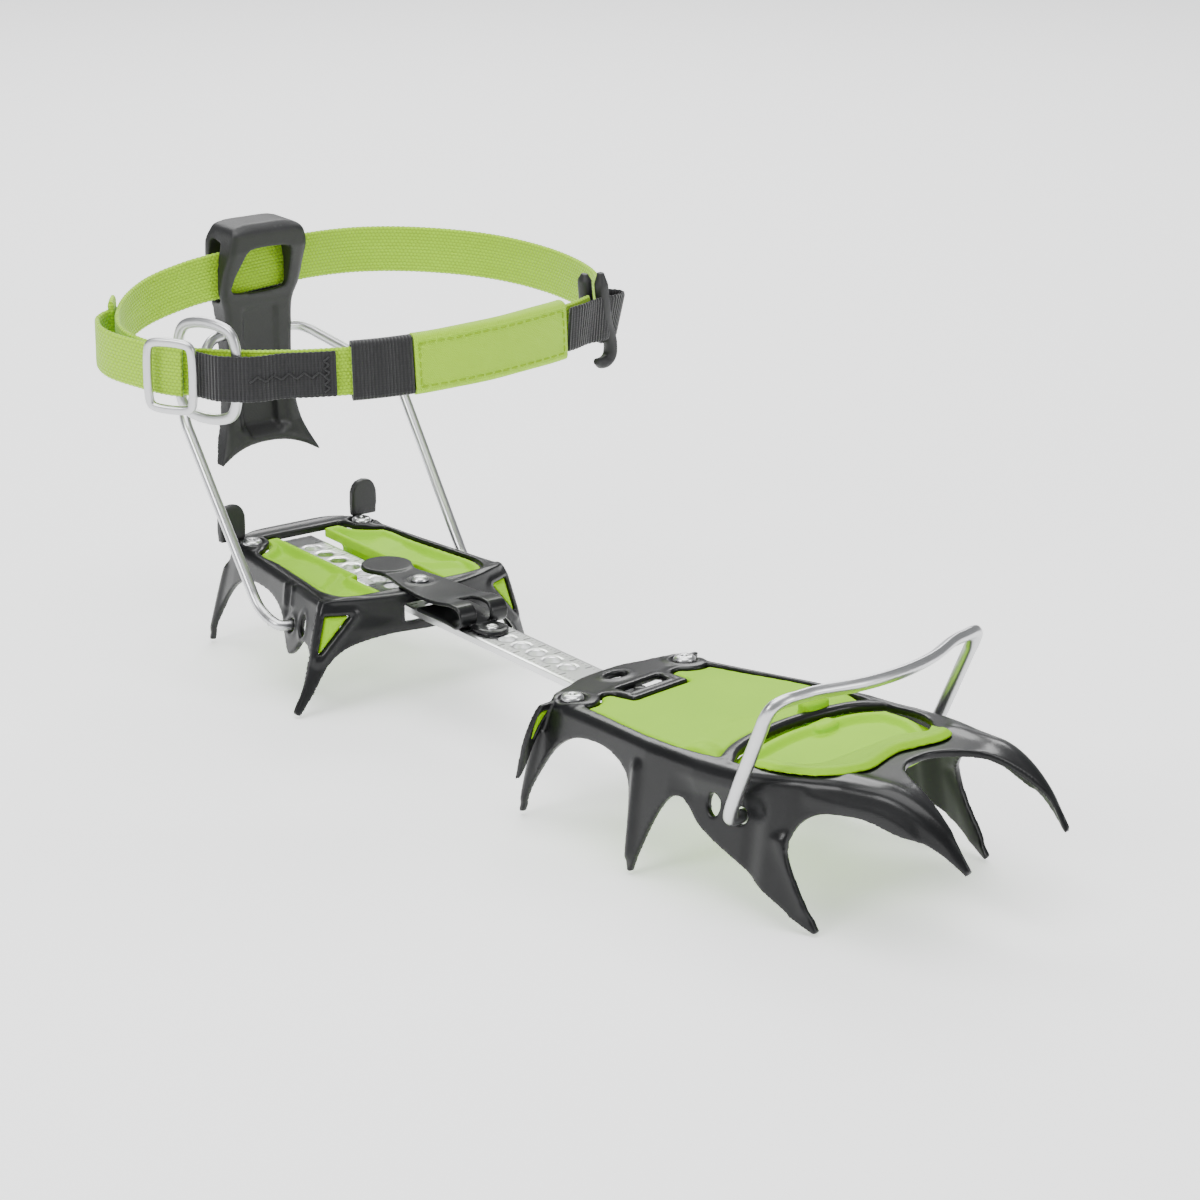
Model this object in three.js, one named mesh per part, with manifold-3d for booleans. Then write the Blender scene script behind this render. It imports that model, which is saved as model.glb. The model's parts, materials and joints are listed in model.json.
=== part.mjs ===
// Step-in crampon, right foot, one of a pair. Millimetres, +Z up, +X towards the toe, +Y to the wearer's left.
// Heel section, linking bar and strap are drawn in the working frame; the toe section has its own frame.
import * as THREE from 'three';
import Module from 'manifold-3d';

const wasm = await Module();
wasm.setup();

// ---- driving dimensions -------------------------------------------------------------------
const GROUND = -36;                 // working height of the floor under the points
const SHIFT = [-146.01, -8.06, 36.445]; // working frame to row frame (bottom centre of the whole part)
const STEEL = 2.2;                  // frame sheet
const BEND_R = 3.2;                 // outer radius of the flange bends
const BEND = 80 * Math.PI / 180;    // flange angle below the plate
const GAP = 0.35;                   // clearance between touching pieces
const TOE_AT = [180.9, -0.5, 0.8];  // toe section origin, between its two rear rivets
const TOE_YAW = 9.1;                // degrees, turned to the inside of the foot
const TOE_PITCH = 1.8;              // degrees, nose up
const BAR_W = 15;
const BAR_T = 2.6;
const BAR_TOP = -4.4;
const BAR_PITCH = 8.1;              // spacing of the size holes
const BAR_HOLE_R = 2.7;
const TOE_WIRE_R = 2.0;
const HEEL_WIRE_R = 1.75;
const WEB_W = 15.6;                 // strap webbing
const WEB_T = 1.5;

// ---- colours ------------------------------------------------------------------------------
const COLOURS = {
  steel_black: [0x24262a, 0.42, 0.35],
  lime: [0xc6ef3c, 0.5, 0],
  web_lime: [0xb6dc3a, 0.85, 0],
  web_black: [0x1c1d20, 0.85, 0],
  plastic_black: [0x2b2d30, 0.55, 0],
  wire: [0xc4c7c9, 0.28, 0.9],
  bar: [0xd9dbdc, 0.35, 0.8],
  rivet: [0xcdd0d2, 0.3, 0.9],
};

const root = new THREE.Group();
root.name = 'crampon';

// ---- small helpers ------------------------------------------------------------------------
const rad = (d) => d * Math.PI / 180;
const lerp = (a, b, t) => a + (b - a) * t;
const clamp01 = (t) => Math.min(1, Math.max(0, t));
const smooth = (a, b, x) => {
  const t = clamp01((x - a) / (b - a));
  return t * t * (3 - 2 * t);
};

function table(rows) {
  return (x) => {
    if (x <= rows[0][0]) return rows[0][1];
    for (let i = 1; i < rows.length; i += 1) {
      if (x <= rows[i][0]) {
        const t = (x - rows[i - 1][0]) / (rows[i][0] - rows[i - 1][0]);
        return lerp(rows[i - 1][1], rows[i][1], t);
      }
    }
    return rows[rows.length - 1][1];
  };
}

// Outline through points; a third value of 1 marks a sharp corner, other points are rounded through.
function outline(points, step = 3) {
  const n = points.length;
  const first = points.findIndex((p) => p[2]);
  const start = Math.max(0, first);
  const ring = [];
  for (let i = 0; i <= n; i += 1) ring.push(points[(start + i) % n]);
  const out = [];
  let run = [ring[0]];
  const flush = () => {
    if (run.length === 2) {
      out.push([run[0][0], run[0][1]]);
    } else {
      const curve = new THREE.CatmullRomCurve3(run.map((p) => new THREE.Vector3(p[0], p[1], 0)), false, 'centripetal');
      const count = Math.max(run.length, Math.round(curve.getLength() / step));
      curve.getPoints(count).slice(0, -1).forEach((p) => out.push([p.x, p.y]));
    }
  };
  for (let i = 1; i <= n; i += 1) {
    run.push(ring[i]);
    if (ring[i][2] || i === n) {
      flush();
      run = [ring[i]];
    }
  }
  return out;
}

const mirrored = (half) => half.concat(half.slice().reverse()
  .filter((p) => Math.abs(p[1]) > 1e-6).map((p) => [p[0], -p[1], p[2]]));
const flipY = (pts) => pts.map((p) => [p[0], -p[1], p[2]]).reverse();

function circlePts(cx, cy, rx, ry = rx, n = 14) {
  const out = [];
  for (let i = 0; i < n; i += 1) {
    const a = i / n * Math.PI * 2;
    out.push([cx + rx * Math.cos(a), cy + ry * Math.sin(a)]);
  }
  return out;
}

const area = (poly) => poly.reduce((s, p, i) => {
  const q = poly[(i + 1) % poly.length];
  return s + p[0] * q[1] - q[0] * p[1];
}, 0) / 2;

function inside(p, poly) {
  let hit = false;
  for (let i = 0, j = poly.length - 1; i < poly.length; j = i, i += 1) {
    const a = poly[i];
    const b = poly[j];
    if ((a[1] > p[1]) !== (b[1] > p[1]) && p[0] < (b[0] - a[0]) * (p[1] - a[1]) / (b[1] - a[1]) + a[0]) hit = !hit;
  }
  return hit;
}

function edgeDistance(p, poly) {
  let best = Infinity;
  poly.forEach((a, i) => {
    const b = poly[(i + 1) % poly.length];
    const dx = b[0] - a[0];
    const dy = b[1] - a[1];
    const t = clamp01(((p[0] - a[0]) * dx + (p[1] - a[1]) * dy) / (dx * dx + dy * dy));
    best = Math.min(best, Math.hypot(p[0] - a[0] - dx * t, p[1] - a[1] - dy * t));
  });
  return best;
}

// Swap diagonals until every inner edge is locally Delaunay.
function improve(pts, tris) {
  const key = (a, b) => (a < b ? `${a}_${b}` : `${b}_${a}`);
  const cross = (a, b, c) => (b[0] - a[0]) * (c[1] - a[1]) - (b[1] - a[1]) * (c[0] - a[0]);
  for (let pass = 0; pass < 60; pass += 1) {
    const edges = new Map();
    tris.forEach((t, i) => {
      for (let k = 0; k < 3; k += 1) {
        const id = key(t[k], t[(k + 1) % 3]);
        if (!edges.has(id)) edges.set(id, []);
        edges.get(id).push([i, k]);
      }
    });
    const used = new Set();
    let flips = 0;
    edges.forEach((pair) => {
      if (pair.length !== 2) return;
      const [[i, k], [j, m]] = pair;
      if (used.has(i) || used.has(j)) return;
      const a = tris[i][k];
      const b = tris[i][(k + 1) % 3];
      const c = tris[i][(k + 2) % 3];
      const d = tris[j][(m + 2) % 3];
      const [A, B, C, D] = [pts[a], pts[b], pts[c], pts[d]];
      const angle = (p, q, r) => Math.acos(Math.max(-1, Math.min(1,
        ((q[0] - p[0]) * (r[0] - p[0]) + (q[1] - p[1]) * (r[1] - p[1]))
        / (Math.hypot(q[0] - p[0], q[1] - p[1]) * Math.hypot(r[0] - p[0], r[1] - p[1])))));
      if (angle(C, A, B) + angle(D, A, B) < Math.PI + 1e-4) return;
      if (cross(C, D, B) < 1e-6 || cross(D, C, A) < 1e-6) return;
      tris[i] = [c, a, d];
      tris[j] = [d, b, c];
      used.add(i);
      used.add(j);
      flips += 1;
    });
    if (!flips) break;
  }
}

// A sheet cut to an outline with holes, meshed finely and carried to its bent shape by map(x, s, t).
function bentSheet(contour, holes, seeds, map, thick = STEEL) {
  const outer = area(contour) > 0 ? contour : contour.slice().reverse();
  const inner = holes.map((h) => (area(h) < 0 ? h : h.slice().reverse()));
  const loops = [outer, ...inner];
  const kept = [];
  seeds.forEach((p) => {
    if (!inside(p, outer) || inner.some((h) => inside(p, h))) return;
    if (loops.some((l) => edgeDistance(p, l) < 1.3)) return;
    if (kept.some((q) => Math.hypot(q[0] - p[0], q[1] - p[1]) < 1.6)) return;
    kept.push(p);
  });
  const v2 = (p) => new THREE.Vector2(p[0], p[1]);
  const pts = [...loops.flat(), ...kept];
  const faces = THREE.ShapeUtils.triangulateShape(outer.map(v2), inner.map((h) => h.map(v2)));
  const turn = (a, b, c) => (b[0] - a[0]) * (c[1] - a[1]) - (b[1] - a[1]) * (c[0] - a[0]);
  const tris = faces.map((t) => (turn(...t.map((i) => pts[i])) > 0 ? t.slice() : [t[0], t[2], t[1]]));
  kept.forEach((p, i) => {
    const id = pts.length - kept.length + i;
    const at = tris.findIndex(([a, b, c]) => turn(pts[a], pts[b], p) > 1e-6
      && turn(pts[b], pts[c], p) > 1e-6 && turn(pts[c], pts[a], p) > 1e-6);
    if (at < 0) return;
    const [a, b, c] = tris[at];
    tris[at] = [a, b, id];
    tris.push([b, c, id], [c, a, id]);
    if (i % 20 === 19) improve(pts, tris);
  });
  improve(pts, tris);
  const n = pts.length;
  const pos = [];
  pts.forEach((p) => pos.push(...map(p[0], p[1], 0)));
  pts.forEach((p) => pos.push(...map(p[0], p[1], -thick)));
  const idx = [];
  tris.forEach((t) => {
    idx.push(t[0], t[1], t[2]);
    idx.push(t[0] + n, t[2] + n, t[1] + n);
  });
  let base = 0;
  loops.forEach((loop) => {
    loop.forEach((p, i) => {
      const a = base + i;
      const b = base + (i + 1) % loop.length;
      idx.push(a, a + n, b + n);
      idx.push(a, b + n, b);
    });
    base += loop.length;
  });
  const geo = new THREE.BufferGeometry();
  geo.setAttribute('position', new THREE.Float32BufferAttribute(pos, 3));
  geo.setIndex(idx);
  return geo;
}

function gridSeeds(x0, x1, s0, s1, step) {
  const out = [];
  for (let x = x0; x <= x1; x += step) {
    for (let s = s0; s <= s1; s += step) out.push([x, s]);
  }
  return out;
}

// Plate with both side flanges folded down along |s| = b(x).
function foldMap(b, after) {
  const arc = BEND_R * BEND;
  return (x, s, t) => {
    const side = s < 0 ? -1 : 1;
    const a = Math.abs(s);
    const b0 = b(x) - BEND_R;
    let y = a;
    let z = t;
    if (a > b0) {
      const ang = Math.min((a - b0) / BEND_R, BEND);
      const rest = Math.max(0, a - b0 - arc);
      y = b0 + (BEND_R + t) * Math.sin(ang) + Math.cos(BEND) * rest;
      z = -BEND_R + (BEND_R + t) * Math.cos(ang) - Math.sin(BEND) * rest;
    }
    return after(x, side * y, z);
  };
}

// Flat-pattern distance of a flange point that ends up z below the plate.
function down(b, x, z) {
  const free = BEND_R * (1 - Math.cos(BEND));
  if (z > -free) return b(x) - BEND_R + BEND_R * Math.acos(1 + z / BEND_R);
  return b(x) - BEND_R + BEND_R * BEND + (-z - free) / Math.sin(BEND);
}

function solid(geo) {
  const g = geo.index ? geo : indexed(geo);
  const p = g.getAttribute('position');
  const m = new wasm.Mesh({
    numProp: 3,
    vertProperties: new Float32Array(p.array),
    triVerts: new Uint32Array(g.getIndex().array),
  });
  return new wasm.Manifold(m);
}

function indexed(geo) {
  const p = geo.getAttribute('position');
  const src = geo.getIndex();
  const count = src ? src.count : p.count;
  const seen = new Map();
  const pos = [];
  const idx = [];
  for (let i = 0; i < count; i += 1) {
    const v = src ? src.getX(i) : i;
    const c = [p.getX(v), p.getY(v), p.getZ(v)];
    const id = c.map((q) => Math.round(q * 2e4)).join(',');
    if (!seen.has(id)) {
      seen.set(id, pos.length / 3);
      pos.push(...c);
    }
    idx.push(seen.get(id));
  }
  const clean = [];
  for (let i = 0; i < idx.length; i += 3) {
    if (idx[i] !== idx[i + 1] && idx[i + 1] !== idx[i + 2] && idx[i] !== idx[i + 2]) {
      clean.push(idx[i], idx[i + 1], idx[i + 2]);
    }
  }
  const out = new THREE.BufferGeometry();
  out.setAttribute('position', new THREE.Float32BufferAttribute(pos, 3));
  out.setIndex(clean);
  return out;
}

function geometry(man) {
  const m = man.getMesh();
  const geo = new THREE.BufferGeometry();
  const pos = [];
  for (let i = 0; i < m.vertProperties.length; i += m.numProp) {
    pos.push(m.vertProperties[i], m.vertProperties[i + 1], m.vertProperties[i + 2]);
  }
  geo.setAttribute('position', new THREE.Float32BufferAttribute(pos, 3));
  geo.setIndex([...m.triVerts]);
  return geo;
}

// Only the outer shell of the largest body is kept, so small trapped pockets are filled.
const whole = (man) => man.decompose().sort((a, b) => b.volume() - a.volume())[0];
const join = (list) => geometry(whole(list.map((g) => solid(indexed(g))).reduce((a, b) => a.add(b))));
const cut = (g, list) => geometry(whole(list.reduce((a, c) => a.subtract(solid(indexed(c))), solid(indexed(g)))));

// Straight extrusion of an outline in the XY plane from z0 to z1.
function slab(points, z0, z1, holes = []) {
  const rim = area(points) > 0 ? points : points.slice().reverse();
  const shape = new THREE.Shape(rim.map((p) => new THREE.Vector2(p[0], p[1])));
  holes.forEach((h) => shape.holes.push(new THREE.Path(h.map((p) => new THREE.Vector2(p[0], p[1])))));
  const geo = new THREE.ExtrudeGeometry(shape, { depth: z1 - z0, bevelEnabled: false });
  return geo.translate(0, 0, z0);
}

// Outline in the XZ plane, extruded along Y from y0 to y1.
function sideSlab(points, y0, y1, holes = []) {
  return fixWinding(slab(points, y0, y1, holes).rotateX(Math.PI / 2).scale(1, -1, 1));
}

function fixWinding(geo) {
  const g = indexed(geo);
  const p = g.getAttribute('position');
  const i = g.getIndex();
  let vol = 0;
  const [a, b, c] = [new THREE.Vector3(), new THREE.Vector3(), new THREE.Vector3()];
  for (let k = 0; k < i.count; k += 3) {
    a.fromBufferAttribute(p, i.getX(k));
    b.fromBufferAttribute(p, i.getX(k + 1));
    c.fromBufferAttribute(p, i.getX(k + 2));
    vol += a.dot(b.clone().cross(c));
  }
  if (vol < 0) {
    const arr = [...i.array];
    for (let k = 0; k < arr.length; k += 3) [arr[k + 1], arr[k + 2]] = [arr[k + 2], arr[k + 1]];
    g.setIndex(arr);
  }
  return g;
}

function drum(r, h, n = 18) {
  return fixWinding(new THREE.CylinderGeometry(r, r, h, n).rotateX(Math.PI / 2));
}

const box = (x0, x1, y0, y1, z0, z1) => new THREE.BoxGeometry(x1 - x0, y1 - y0, z1 - z0)
  .translate((x0 + x1) / 2, (y0 + y1) / 2, (z0 + z1) / 2);

// Round wire along a rounded path.
function wire(points, r, steps, sides = 10, closed = false) {
  const path = new THREE.CatmullRomCurve3(points.map((p) => new THREE.Vector3(...p)), closed, 'centripetal');
  const shape = new THREE.Shape(circlePts(0, 0, r, r, sides).map((p) => new THREE.Vector2(p[0], p[1])));
  return fixWinding(new THREE.ExtrudeGeometry(shape, { steps, extrudePath: path, bevelEnabled: false }));
}

// Straight runs with rounded corners of radius q, as points for wire().
function rounded(points, q) {
  const out = [points[0]];
  const v = points.map((p) => new THREE.Vector3(...p));
  for (let i = 1; i < v.length - 1; i += 1) {
    const a = v[i - 1].clone().sub(v[i]);
    const b = v[i + 1].clone().sub(v[i]);
    const la = Math.min(q, a.length() * 0.45);
    const lb = Math.min(q, b.length() * 0.45);
    const p = v[i].clone().addScaledVector(a.normalize(), la);
    const s = v[i].clone().addScaledVector(b.normalize(), lb);
    const m = p.clone().add(s).multiplyScalar(0.25).addScaledVector(v[i], 0.5);
    out.push(p.clone().addScaledVector(a, la * 0.6).toArray(), p.toArray(), m.toArray(), s.toArray());
    out.push(s.clone().addScaledVector(b, lb * 0.6).toArray());
  }
  out.push(points[points.length - 1]);
  return out;
}

const toeMatrix = new THREE.Matrix4().makeTranslation(...TOE_AT)
  .multiply(new THREE.Matrix4().makeRotationZ(rad(TOE_YAW)))
  .multiply(new THREE.Matrix4().makeRotationY(-rad(TOE_PITCH)));

function put(name, geo, look, toe = false) {
  const g = fixWinding(geo);
  if (toe) g.applyMatrix4(toeMatrix);
  g.translate(...SHIFT);
  g.computeVertexNormals();
  const [color, roughness, metalness] = COLOURS[look];
  const mesh = new THREE.Mesh(g, new THREE.MeshStandardMaterial({ color, roughness, metalness }));
  mesh.name = name;
  root.add(mesh);
}

// ---- toe section --------------------------------------------------------------------------
const toeB = table([[-14, 27.5], [0, 30], [20, 33.2], [42, 37.2], [62, 38.8], [80, 38.2], [94, 35.2],
  [108, 31], [120, 29], [134, 26], [146, 22.6]]);
const toeZ = (x) => 2.4 * smooth(70, 108, x) - 0.0205 * Math.max(0, x - 118) ** 2;
const toeAfter = (x, y, z) => {
  const drop = Math.max(0, -z - 5);
  const inset = 2.2 * smooth(52, 62, x) * (1 - smooth(82, 90, x)) * clamp01(drop / 5);
  const side = Math.sign(y);
  return [x, y - side * inset, z + toeZ(x)];
};
const toeMap = foldMap(toeB, toeAfter);
const tf = (x, z, corner) => [x, down(toeB, x, z - toeZ(x)), corner];
const toeHalf = [
  [-12.5, 0], [-12, 9], [-9.5, 17], [-7.5, 24], [-5, toeB(-5) - 1],
  tf(-8.5, -6), tf(-11.6, -15), tf(-13.4, -26), tf(-14.2, -36, 1), tf(-12.6, -35.6, 1), tf(-10.3, -28), tf(-6, -20.5),
  tf(0, -13), tf(8, -8.2), tf(20, -6.6), tf(29, -8.2), tf(34.5, -12), tf(37.2, -20), tf(38.2, -33),
  tf(39.2, -38, 1), tf(40.6, -37.6, 1), tf(45, -26), tf(50, -16.5), tf(53.8, -12.6), tf(57, -12.2), tf(60, -14.8),
  tf(63.6, -18.4), tf(82, -27), tf(97, -35.4, 1), tf(98.2, -36.6, 1), tf(105.6, -40.2, 1), tf(106.4, -39.2, 1), tf(102.6, -33),
  tf(98.4, -26), tf(95.6, -19.5), tf(95.6, -14.6), tf(98.4, -10), tf(104, -7), tf(114, -6.2), tf(126, -8.6),
  tf(136, -10.5), tf(145.6, -17.2, 1),
  [146.4, 22.2, 1], [140, 20.6], [131, 18.2], [121, 14.8], [114.4, 10.2], [111, 5], [110.4, 0],
];
const tongue = [[3.2, -9.2, 1], [3.2, 9.2, 1], [8.6, 7.6, 1], [8.6, -9.2, 1]];
const rearWindow = mirrored([
  [13.2, 0, 1], [13.2, 11.6, 1], [6.2, 12.2, 1], [4.4, 13.4], [4, 16.4], [6.6, 19.2], [8, 23], [7.4, 26.4, 1],
  [20, 28.8], [38, 32.2], [54, 33.4], [66, 32.4, 1], [62, 24], [59.4, 12], [58.6, 0],
]);
const toeWindow = mirrored([
  [62.4, 0], [63.4, 12], [66.4, 24], [71.6, 32.6, 1], [84, 31.4], [94, 26.6], [100, 18], [102, 8], [102.4, 0],
]);
const slotHole = circlePts(-5.6, 0, 2.4, 4.2);
const bailHole = circlePts(78.4, down(toeB, 78.4, -12.8), 2.5, 2.5);
const spareHole = circlePts(68.6, down(toeB, 68.6, -11.6), 2.3, 3.6);
const toeHoles = [outline(rearWindow, 5), outline(toeWindow, 5), outline(tongue, 30), slotHole,
  bailHole, flipY(bailHole), spareHole, flipY(spareHole)];
const toeSeeds = [];
for (let x = -12; x <= 146; x += 5.5) {
  [-1, 1].forEach((sd) => {
    const b0 = toeB(x) - BEND_R;
    [-6, 0, 1.5, 3, 4.5, 9, 15, 21, 27, 33].forEach((k) => toeSeeds.push([x + (k % 2) * 2, sd * (b0 + k)]));
    [0, 8, 16].forEach((k) => toeSeeds.push([x, sd * k]));
  });
}
let toeFrame = bentSheet(outline(mirrored(toeHalf), 4.5), toeHoles, toeSeeds, toeMap);

// Rear face that closes each rear claw, with its window for the coloured insert.
const clawWeb = (sd, sheet) => {
  const pts = outline([[27, -0.4, 1], [33.5, -0.4, 1], [36.6, -12], [37.4, -24, 1], [35.6, -22], [32.4, -12], [28.4, -5]], 3);
  const lens = outline([[29.6, -2.4, 1], [33.2, -3.2], [34.9, -14.5, 1], [32.6, -8]], 3);
  const g = fixWinding(slab(pts, 0, sheet, [lens]));
  const p = g.getAttribute('position');
  for (let i = 0; i < p.count; i += 1) {
    const [y, z, t] = [p.getX(i), p.getY(i), p.getZ(i)];
    const x = -4.2 - 8.6 * Math.pow(clamp01(-z / 30), 0.75) + t;
    p.setXYZ(i, x, sd * y, z);
  }
  return fixWinding(g);
};
toeFrame = join([toeFrame, clawWeb(-1, 1.8), clawWeb(1, 1.8)]);
put('toe_frame', toeFrame, 'steel_black', true);

const clawLens = (sd, shift) => {
  const lens = outline([[30.1, -2.9, 1], [32.9, -3.6], [34.5, -13.2, 1], [32.7, -7.9]], 3);
  const g = fixWinding(slab(lens, 0.2, 1.7));
  const p = g.getAttribute('position');
  for (let i = 0; i < p.count; i += 1) {
    const [y, z, t] = [p.getX(i), p.getY(i), p.getZ(i)];
    p.setXYZ(i, -4.2 - 8.6 * Math.pow(clamp01(-z / 30), 0.75) + t, sd * (y + shift), z);
  }
  return fixWinding(g);
};
put('toe_claw_insert_near', clawLens(-1, 0), 'lime', true);
put('toe_claw_insert_far', clawLens(1, 0), 'lime', true);

// Anti-snow plates: a raised field that fills the window and a skirt behind the steel.
const shrink = (pts, d) => {
  const dir = area(pts) > 0 ? 1 : -1;
  const unit = (p, q) => {
    const l = Math.hypot(q[0] - p[0], q[1] - p[1]) || 1;
    return [(q[0] - p[0]) / l, (q[1] - p[1]) / l];
  };
  return pts.map((p, i) => {
    const u = unit(pts[(i + pts.length - 1) % pts.length], p);
    const v = unit(p, pts[(i + 1) % pts.length]);
    const n = [(u[1] + v[1]) * dir, -(u[0] + v[0]) * dir];
    const l = Math.hypot(...n) || 1;
    const k = d / Math.max(0.4, l / 2);
    return [p[0] - n[0] / l * k, p[1] - n[1] / l * k];
  });
};
const rearField = shrink(outline(rearWindow, 5), GAP + 0.35);
const rearSkirt = outline(mirrored([[16, 0, 1], [16, 23.6, 1], [24, 27.2], [40, 30.2], [56, 31, 1], [60.4, 26], [60.4, 0]]), 5);
const rearPad = join([
  slab(rearField, -2.1, -0.2),
  slab(rearSkirt, -4.6, -STEEL - GAP),
  slab(outline(mirrored([[17, 0, 1], [17, 22, 1], [40, 28], [56, 28, 1], [56, 0]]), 6), -4, -0.6),
]);
put('toe_pad_rear', rearPad, 'lime', true);

const toeField = shrink(outline(toeWindow, 5), GAP + 0.45);
const toeCore = outline(mirrored([[66, 0, 1], [72, 25, 1], [84, 26], [92, 20.5], [97, 12], [98.6, 0]]), 5);
const toeBowl = outline(mirrored([[68.5, 0, 1], [69.5, 14], [73.5, 26, 1], [83, 26], [91, 21.5], [96, 14], [97.6, 0]]), 5);
const toeLip = outline(mirrored([[94.6, 0, 1], [94.2, 9], [91.8, 17], [86.6, 24.2, 1], [92.6, 28.6, 1], [98.6, 23.4],
  [103.6, 15], [106.6, 6.5], [107, 0]]), 4);
const toeKnob = [[66.2, -6.5], [70.6, -6.5], [70.6, 8.5], [66.2, 8.5]];
const toePad = join([
  cut(join([slab(toeField, -1.9, 1.2), slab(toeCore, -4.4, 1)]), [slab(toeBowl, -2.6, 4)]),
  slab(toeLip, 2.4 + GAP, 4.6),
  box(93.6, 97.8, -8, 8, 0.5, 4),
  slab(toeKnob, -4, 5.2),
  box(56.8, 70.6, -6.5, 8.5, 1.5, 5.2),
]);
put('toe_pad_front', toePad, 'lime', true);

[-1, 1].forEach((sd) => {
  const head = drum(3.4, 1.3).translate(0, sd * 24, 1.0);
  const tag = sd < 0 ? 'near' : 'far';
  put(`toe_rivet_${tag}`, head, 'rivet', true);
});

// Toe wire: outside both flanges, its ends turned in through the flange holes.
const bailY = 43.6;
const bailEnd = (sd) => [
  [78.4, sd * 35.4, -12.8], [78.4, sd * (bailY - 0.6), -12.8], [84.4, sd * (bailY + 0.5), 0.6], [95.8, sd * (bailY + 0.9), 25.4],
];
const bow = [-30, -15, 0, 15, 30].map((y) => [103.8 - 0.0066 * y * y, y, 25.2 + 0.0004 * y * y]);
const bailPath = [...rounded([...bailEnd(-1), bow[0]], 5).slice(0, -1), ...bow,
  ...rounded([bow[4], ...bailEnd(1).reverse()], 5).slice(1)];
put('toe_bail', wire(bailPath, TOE_WIRE_R, 78, 10), 'wire', true);

// ---- linking bar --------------------------------------------------------------------------
const BAR_X0 = -8.5;
const BAR_X1 = 196.5;
const barHoles = [];
for (let k = 0; k <= 18; k += 1) {
  const x = 4.1 + BAR_PITCH * k;
  if (k < 11 || k > 12) barHoles.push(circlePts(x, -0.5, BAR_HOLE_R, BAR_HOLE_R, 12));
}
const barPlan = outline([[BAR_X0, -BAR_W / 2 - 0.5, 1], [BAR_X1 - 6, -BAR_W / 2 - 0.5], [BAR_X1, -BAR_W / 2 + 4],
  [BAR_X1, BAR_W / 2 - 5], [BAR_X1 - 6, BAR_W / 2 - 0.5], [BAR_X0, BAR_W / 2 - 0.5, 1]], 40);
const bar = slab([[BAR_X0, -8], [BAR_X1 - 4, -8], [BAR_X1, -4], [BAR_X1, 3], [BAR_X1 - 4, 7], [BAR_X0, 7]],
  BAR_TOP - BAR_T, BAR_TOP, barHoles);
put('linking_bar', bar, 'bar');
const hookY = -0.5;
put('bar_stud', drum(2.0, 4.2).translate(186.4, hookY, BAR_TOP + 2.4), 'steel_black');

// ---- heel section -------------------------------------------------------------------------
const heelB = table([[-14, 25], [0, 27.6], [25, 30.4], [57, 34.6], [66, 36]]);
const heelAfter = (x, y, z) => {
  const rib = 0.8 * Math.exp(-(((x - 41.5) / 2.2) ** 2)) * smooth(-14, -9, z) * (1 - smooth(-3, 0, z));
  return [x, y - Math.sign(y) * rib, z];
};
const heelMap = foldMap(heelB, heelAfter);
const hf = (x, z, corner) => [x, down(heelB, x, z), corner];
const frontX = (y) => 75.2 - 0.0078 * y * y;
const heelHalf = [
  [-12.5, 0], [-12.2, 12], [-9.6, 19], [-6.8, 24.2, 1],
  hf(-5, -3.5), hf(-8.6, -10), hf(-11.8, -18), hf(-13.6, -28), hf(-14.4, -36, 1), hf(-12.8, -35.6, 1), hf(-9.6, -26.5),
  hf(-3.8, -17.5), hf(4, -11), hf(14, -8), hf(28, -8), hf(37, -11.5), hf(41.6, -18), hf(46, -22.6), hf(50.4, -20),
  hf(53.6, -16.4), hf(58, -16), hf(61.2, -18.6), hf(63.2, -25), hf(65.4, -32, 1),
  hf(62.8, -17), hf(62.6, -5, 1), [frontX(32), 32, 1],
  [frontX(24), 24], [frontX(12), 12], [frontX(0), 0],
];
const heelWindow = mirrored([
  [-3.4, 0, 1], [-3.4, 15, 1], [3.2, 16.6], [8, 21.6], [10, 24.6], [26, 26], [44, 28.2], [58, 29.4], [65.4, 26.4],
  [67, 18], [67, 10, 1], [67.6, 0],
]);
const wireHole = circlePts(45.8, down(heelB, 45.8, -13.2), 2.3, 2.3);
const heelSlot = circlePts(54, down(heelB, 54, -11), 1.8, 3.8);
const heelHoles = [outline(heelWindow, 5), wireHole, flipY(wireHole), heelSlot, flipY(heelSlot)];
const heelSeeds = [];
for (let x = -12; x <= 74; x += 5.5) {
  [-1, 1].forEach((sd) => {
    const b0 = heelB(x) - BEND_R;
    [-4, 0, 1.5, 3, 4.5, 9, 15, 21, 27].forEach((k) => heelSeeds.push([x + (k % 2) * 2, sd * (b0 + k)]));
    [0, 8, 16].forEach((k) => heelSeeds.push([x, sd * k]));
  });
}
const heelSheet = bentSheet(outline(mirrored(heelHalf), 4.5), heelHoles, heelSeeds, heelMap);
// Front face between the two front points, leaning forwards, with the bar's slot and two windows.
const faceHalf = [
  [0, 0], [12, 0], [24, 0], [34.6, 0, 1], [36.6, -4], [39, -12], [42.6, -26], [46.6, -35.2, 1], [45.4, -36, 1],
  [40.4, -28], [35, -19.4], [29.6, -15.4], [22, -13.2], [14, -12.2], [0, -12.4],
];
const facePlan = outline(faceHalf.concat(faceHalf.slice(1, -1).reverse().map((p) => [-p[0], p[1], p[2]])), 4);
const faceWin = outline([[27, -4.6, 1], [35, -4.6, 1], [38.6, -17.8, 1]], 4);
const barSlot = [[-9.8, -9.0], [8.8, -9.0], [8.8, -2.9], [-9.8, -2.9]];
const faceSeeds = gridSeeds(-44, 44, -34, -1, 5);
const faceMap = (y, z, t) => {
  const lean = 0.2 * Math.max(0, -z - 3) * smooth(10, 40, Math.abs(y)) + 0.05 * Math.max(0, -z);
  const nx = 1;
  return [frontX(y) - 0.9 * (z > -1.5 ? (1.5 + z) : 0) + lean + t * nx, y, z - 0.15];
};
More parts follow.
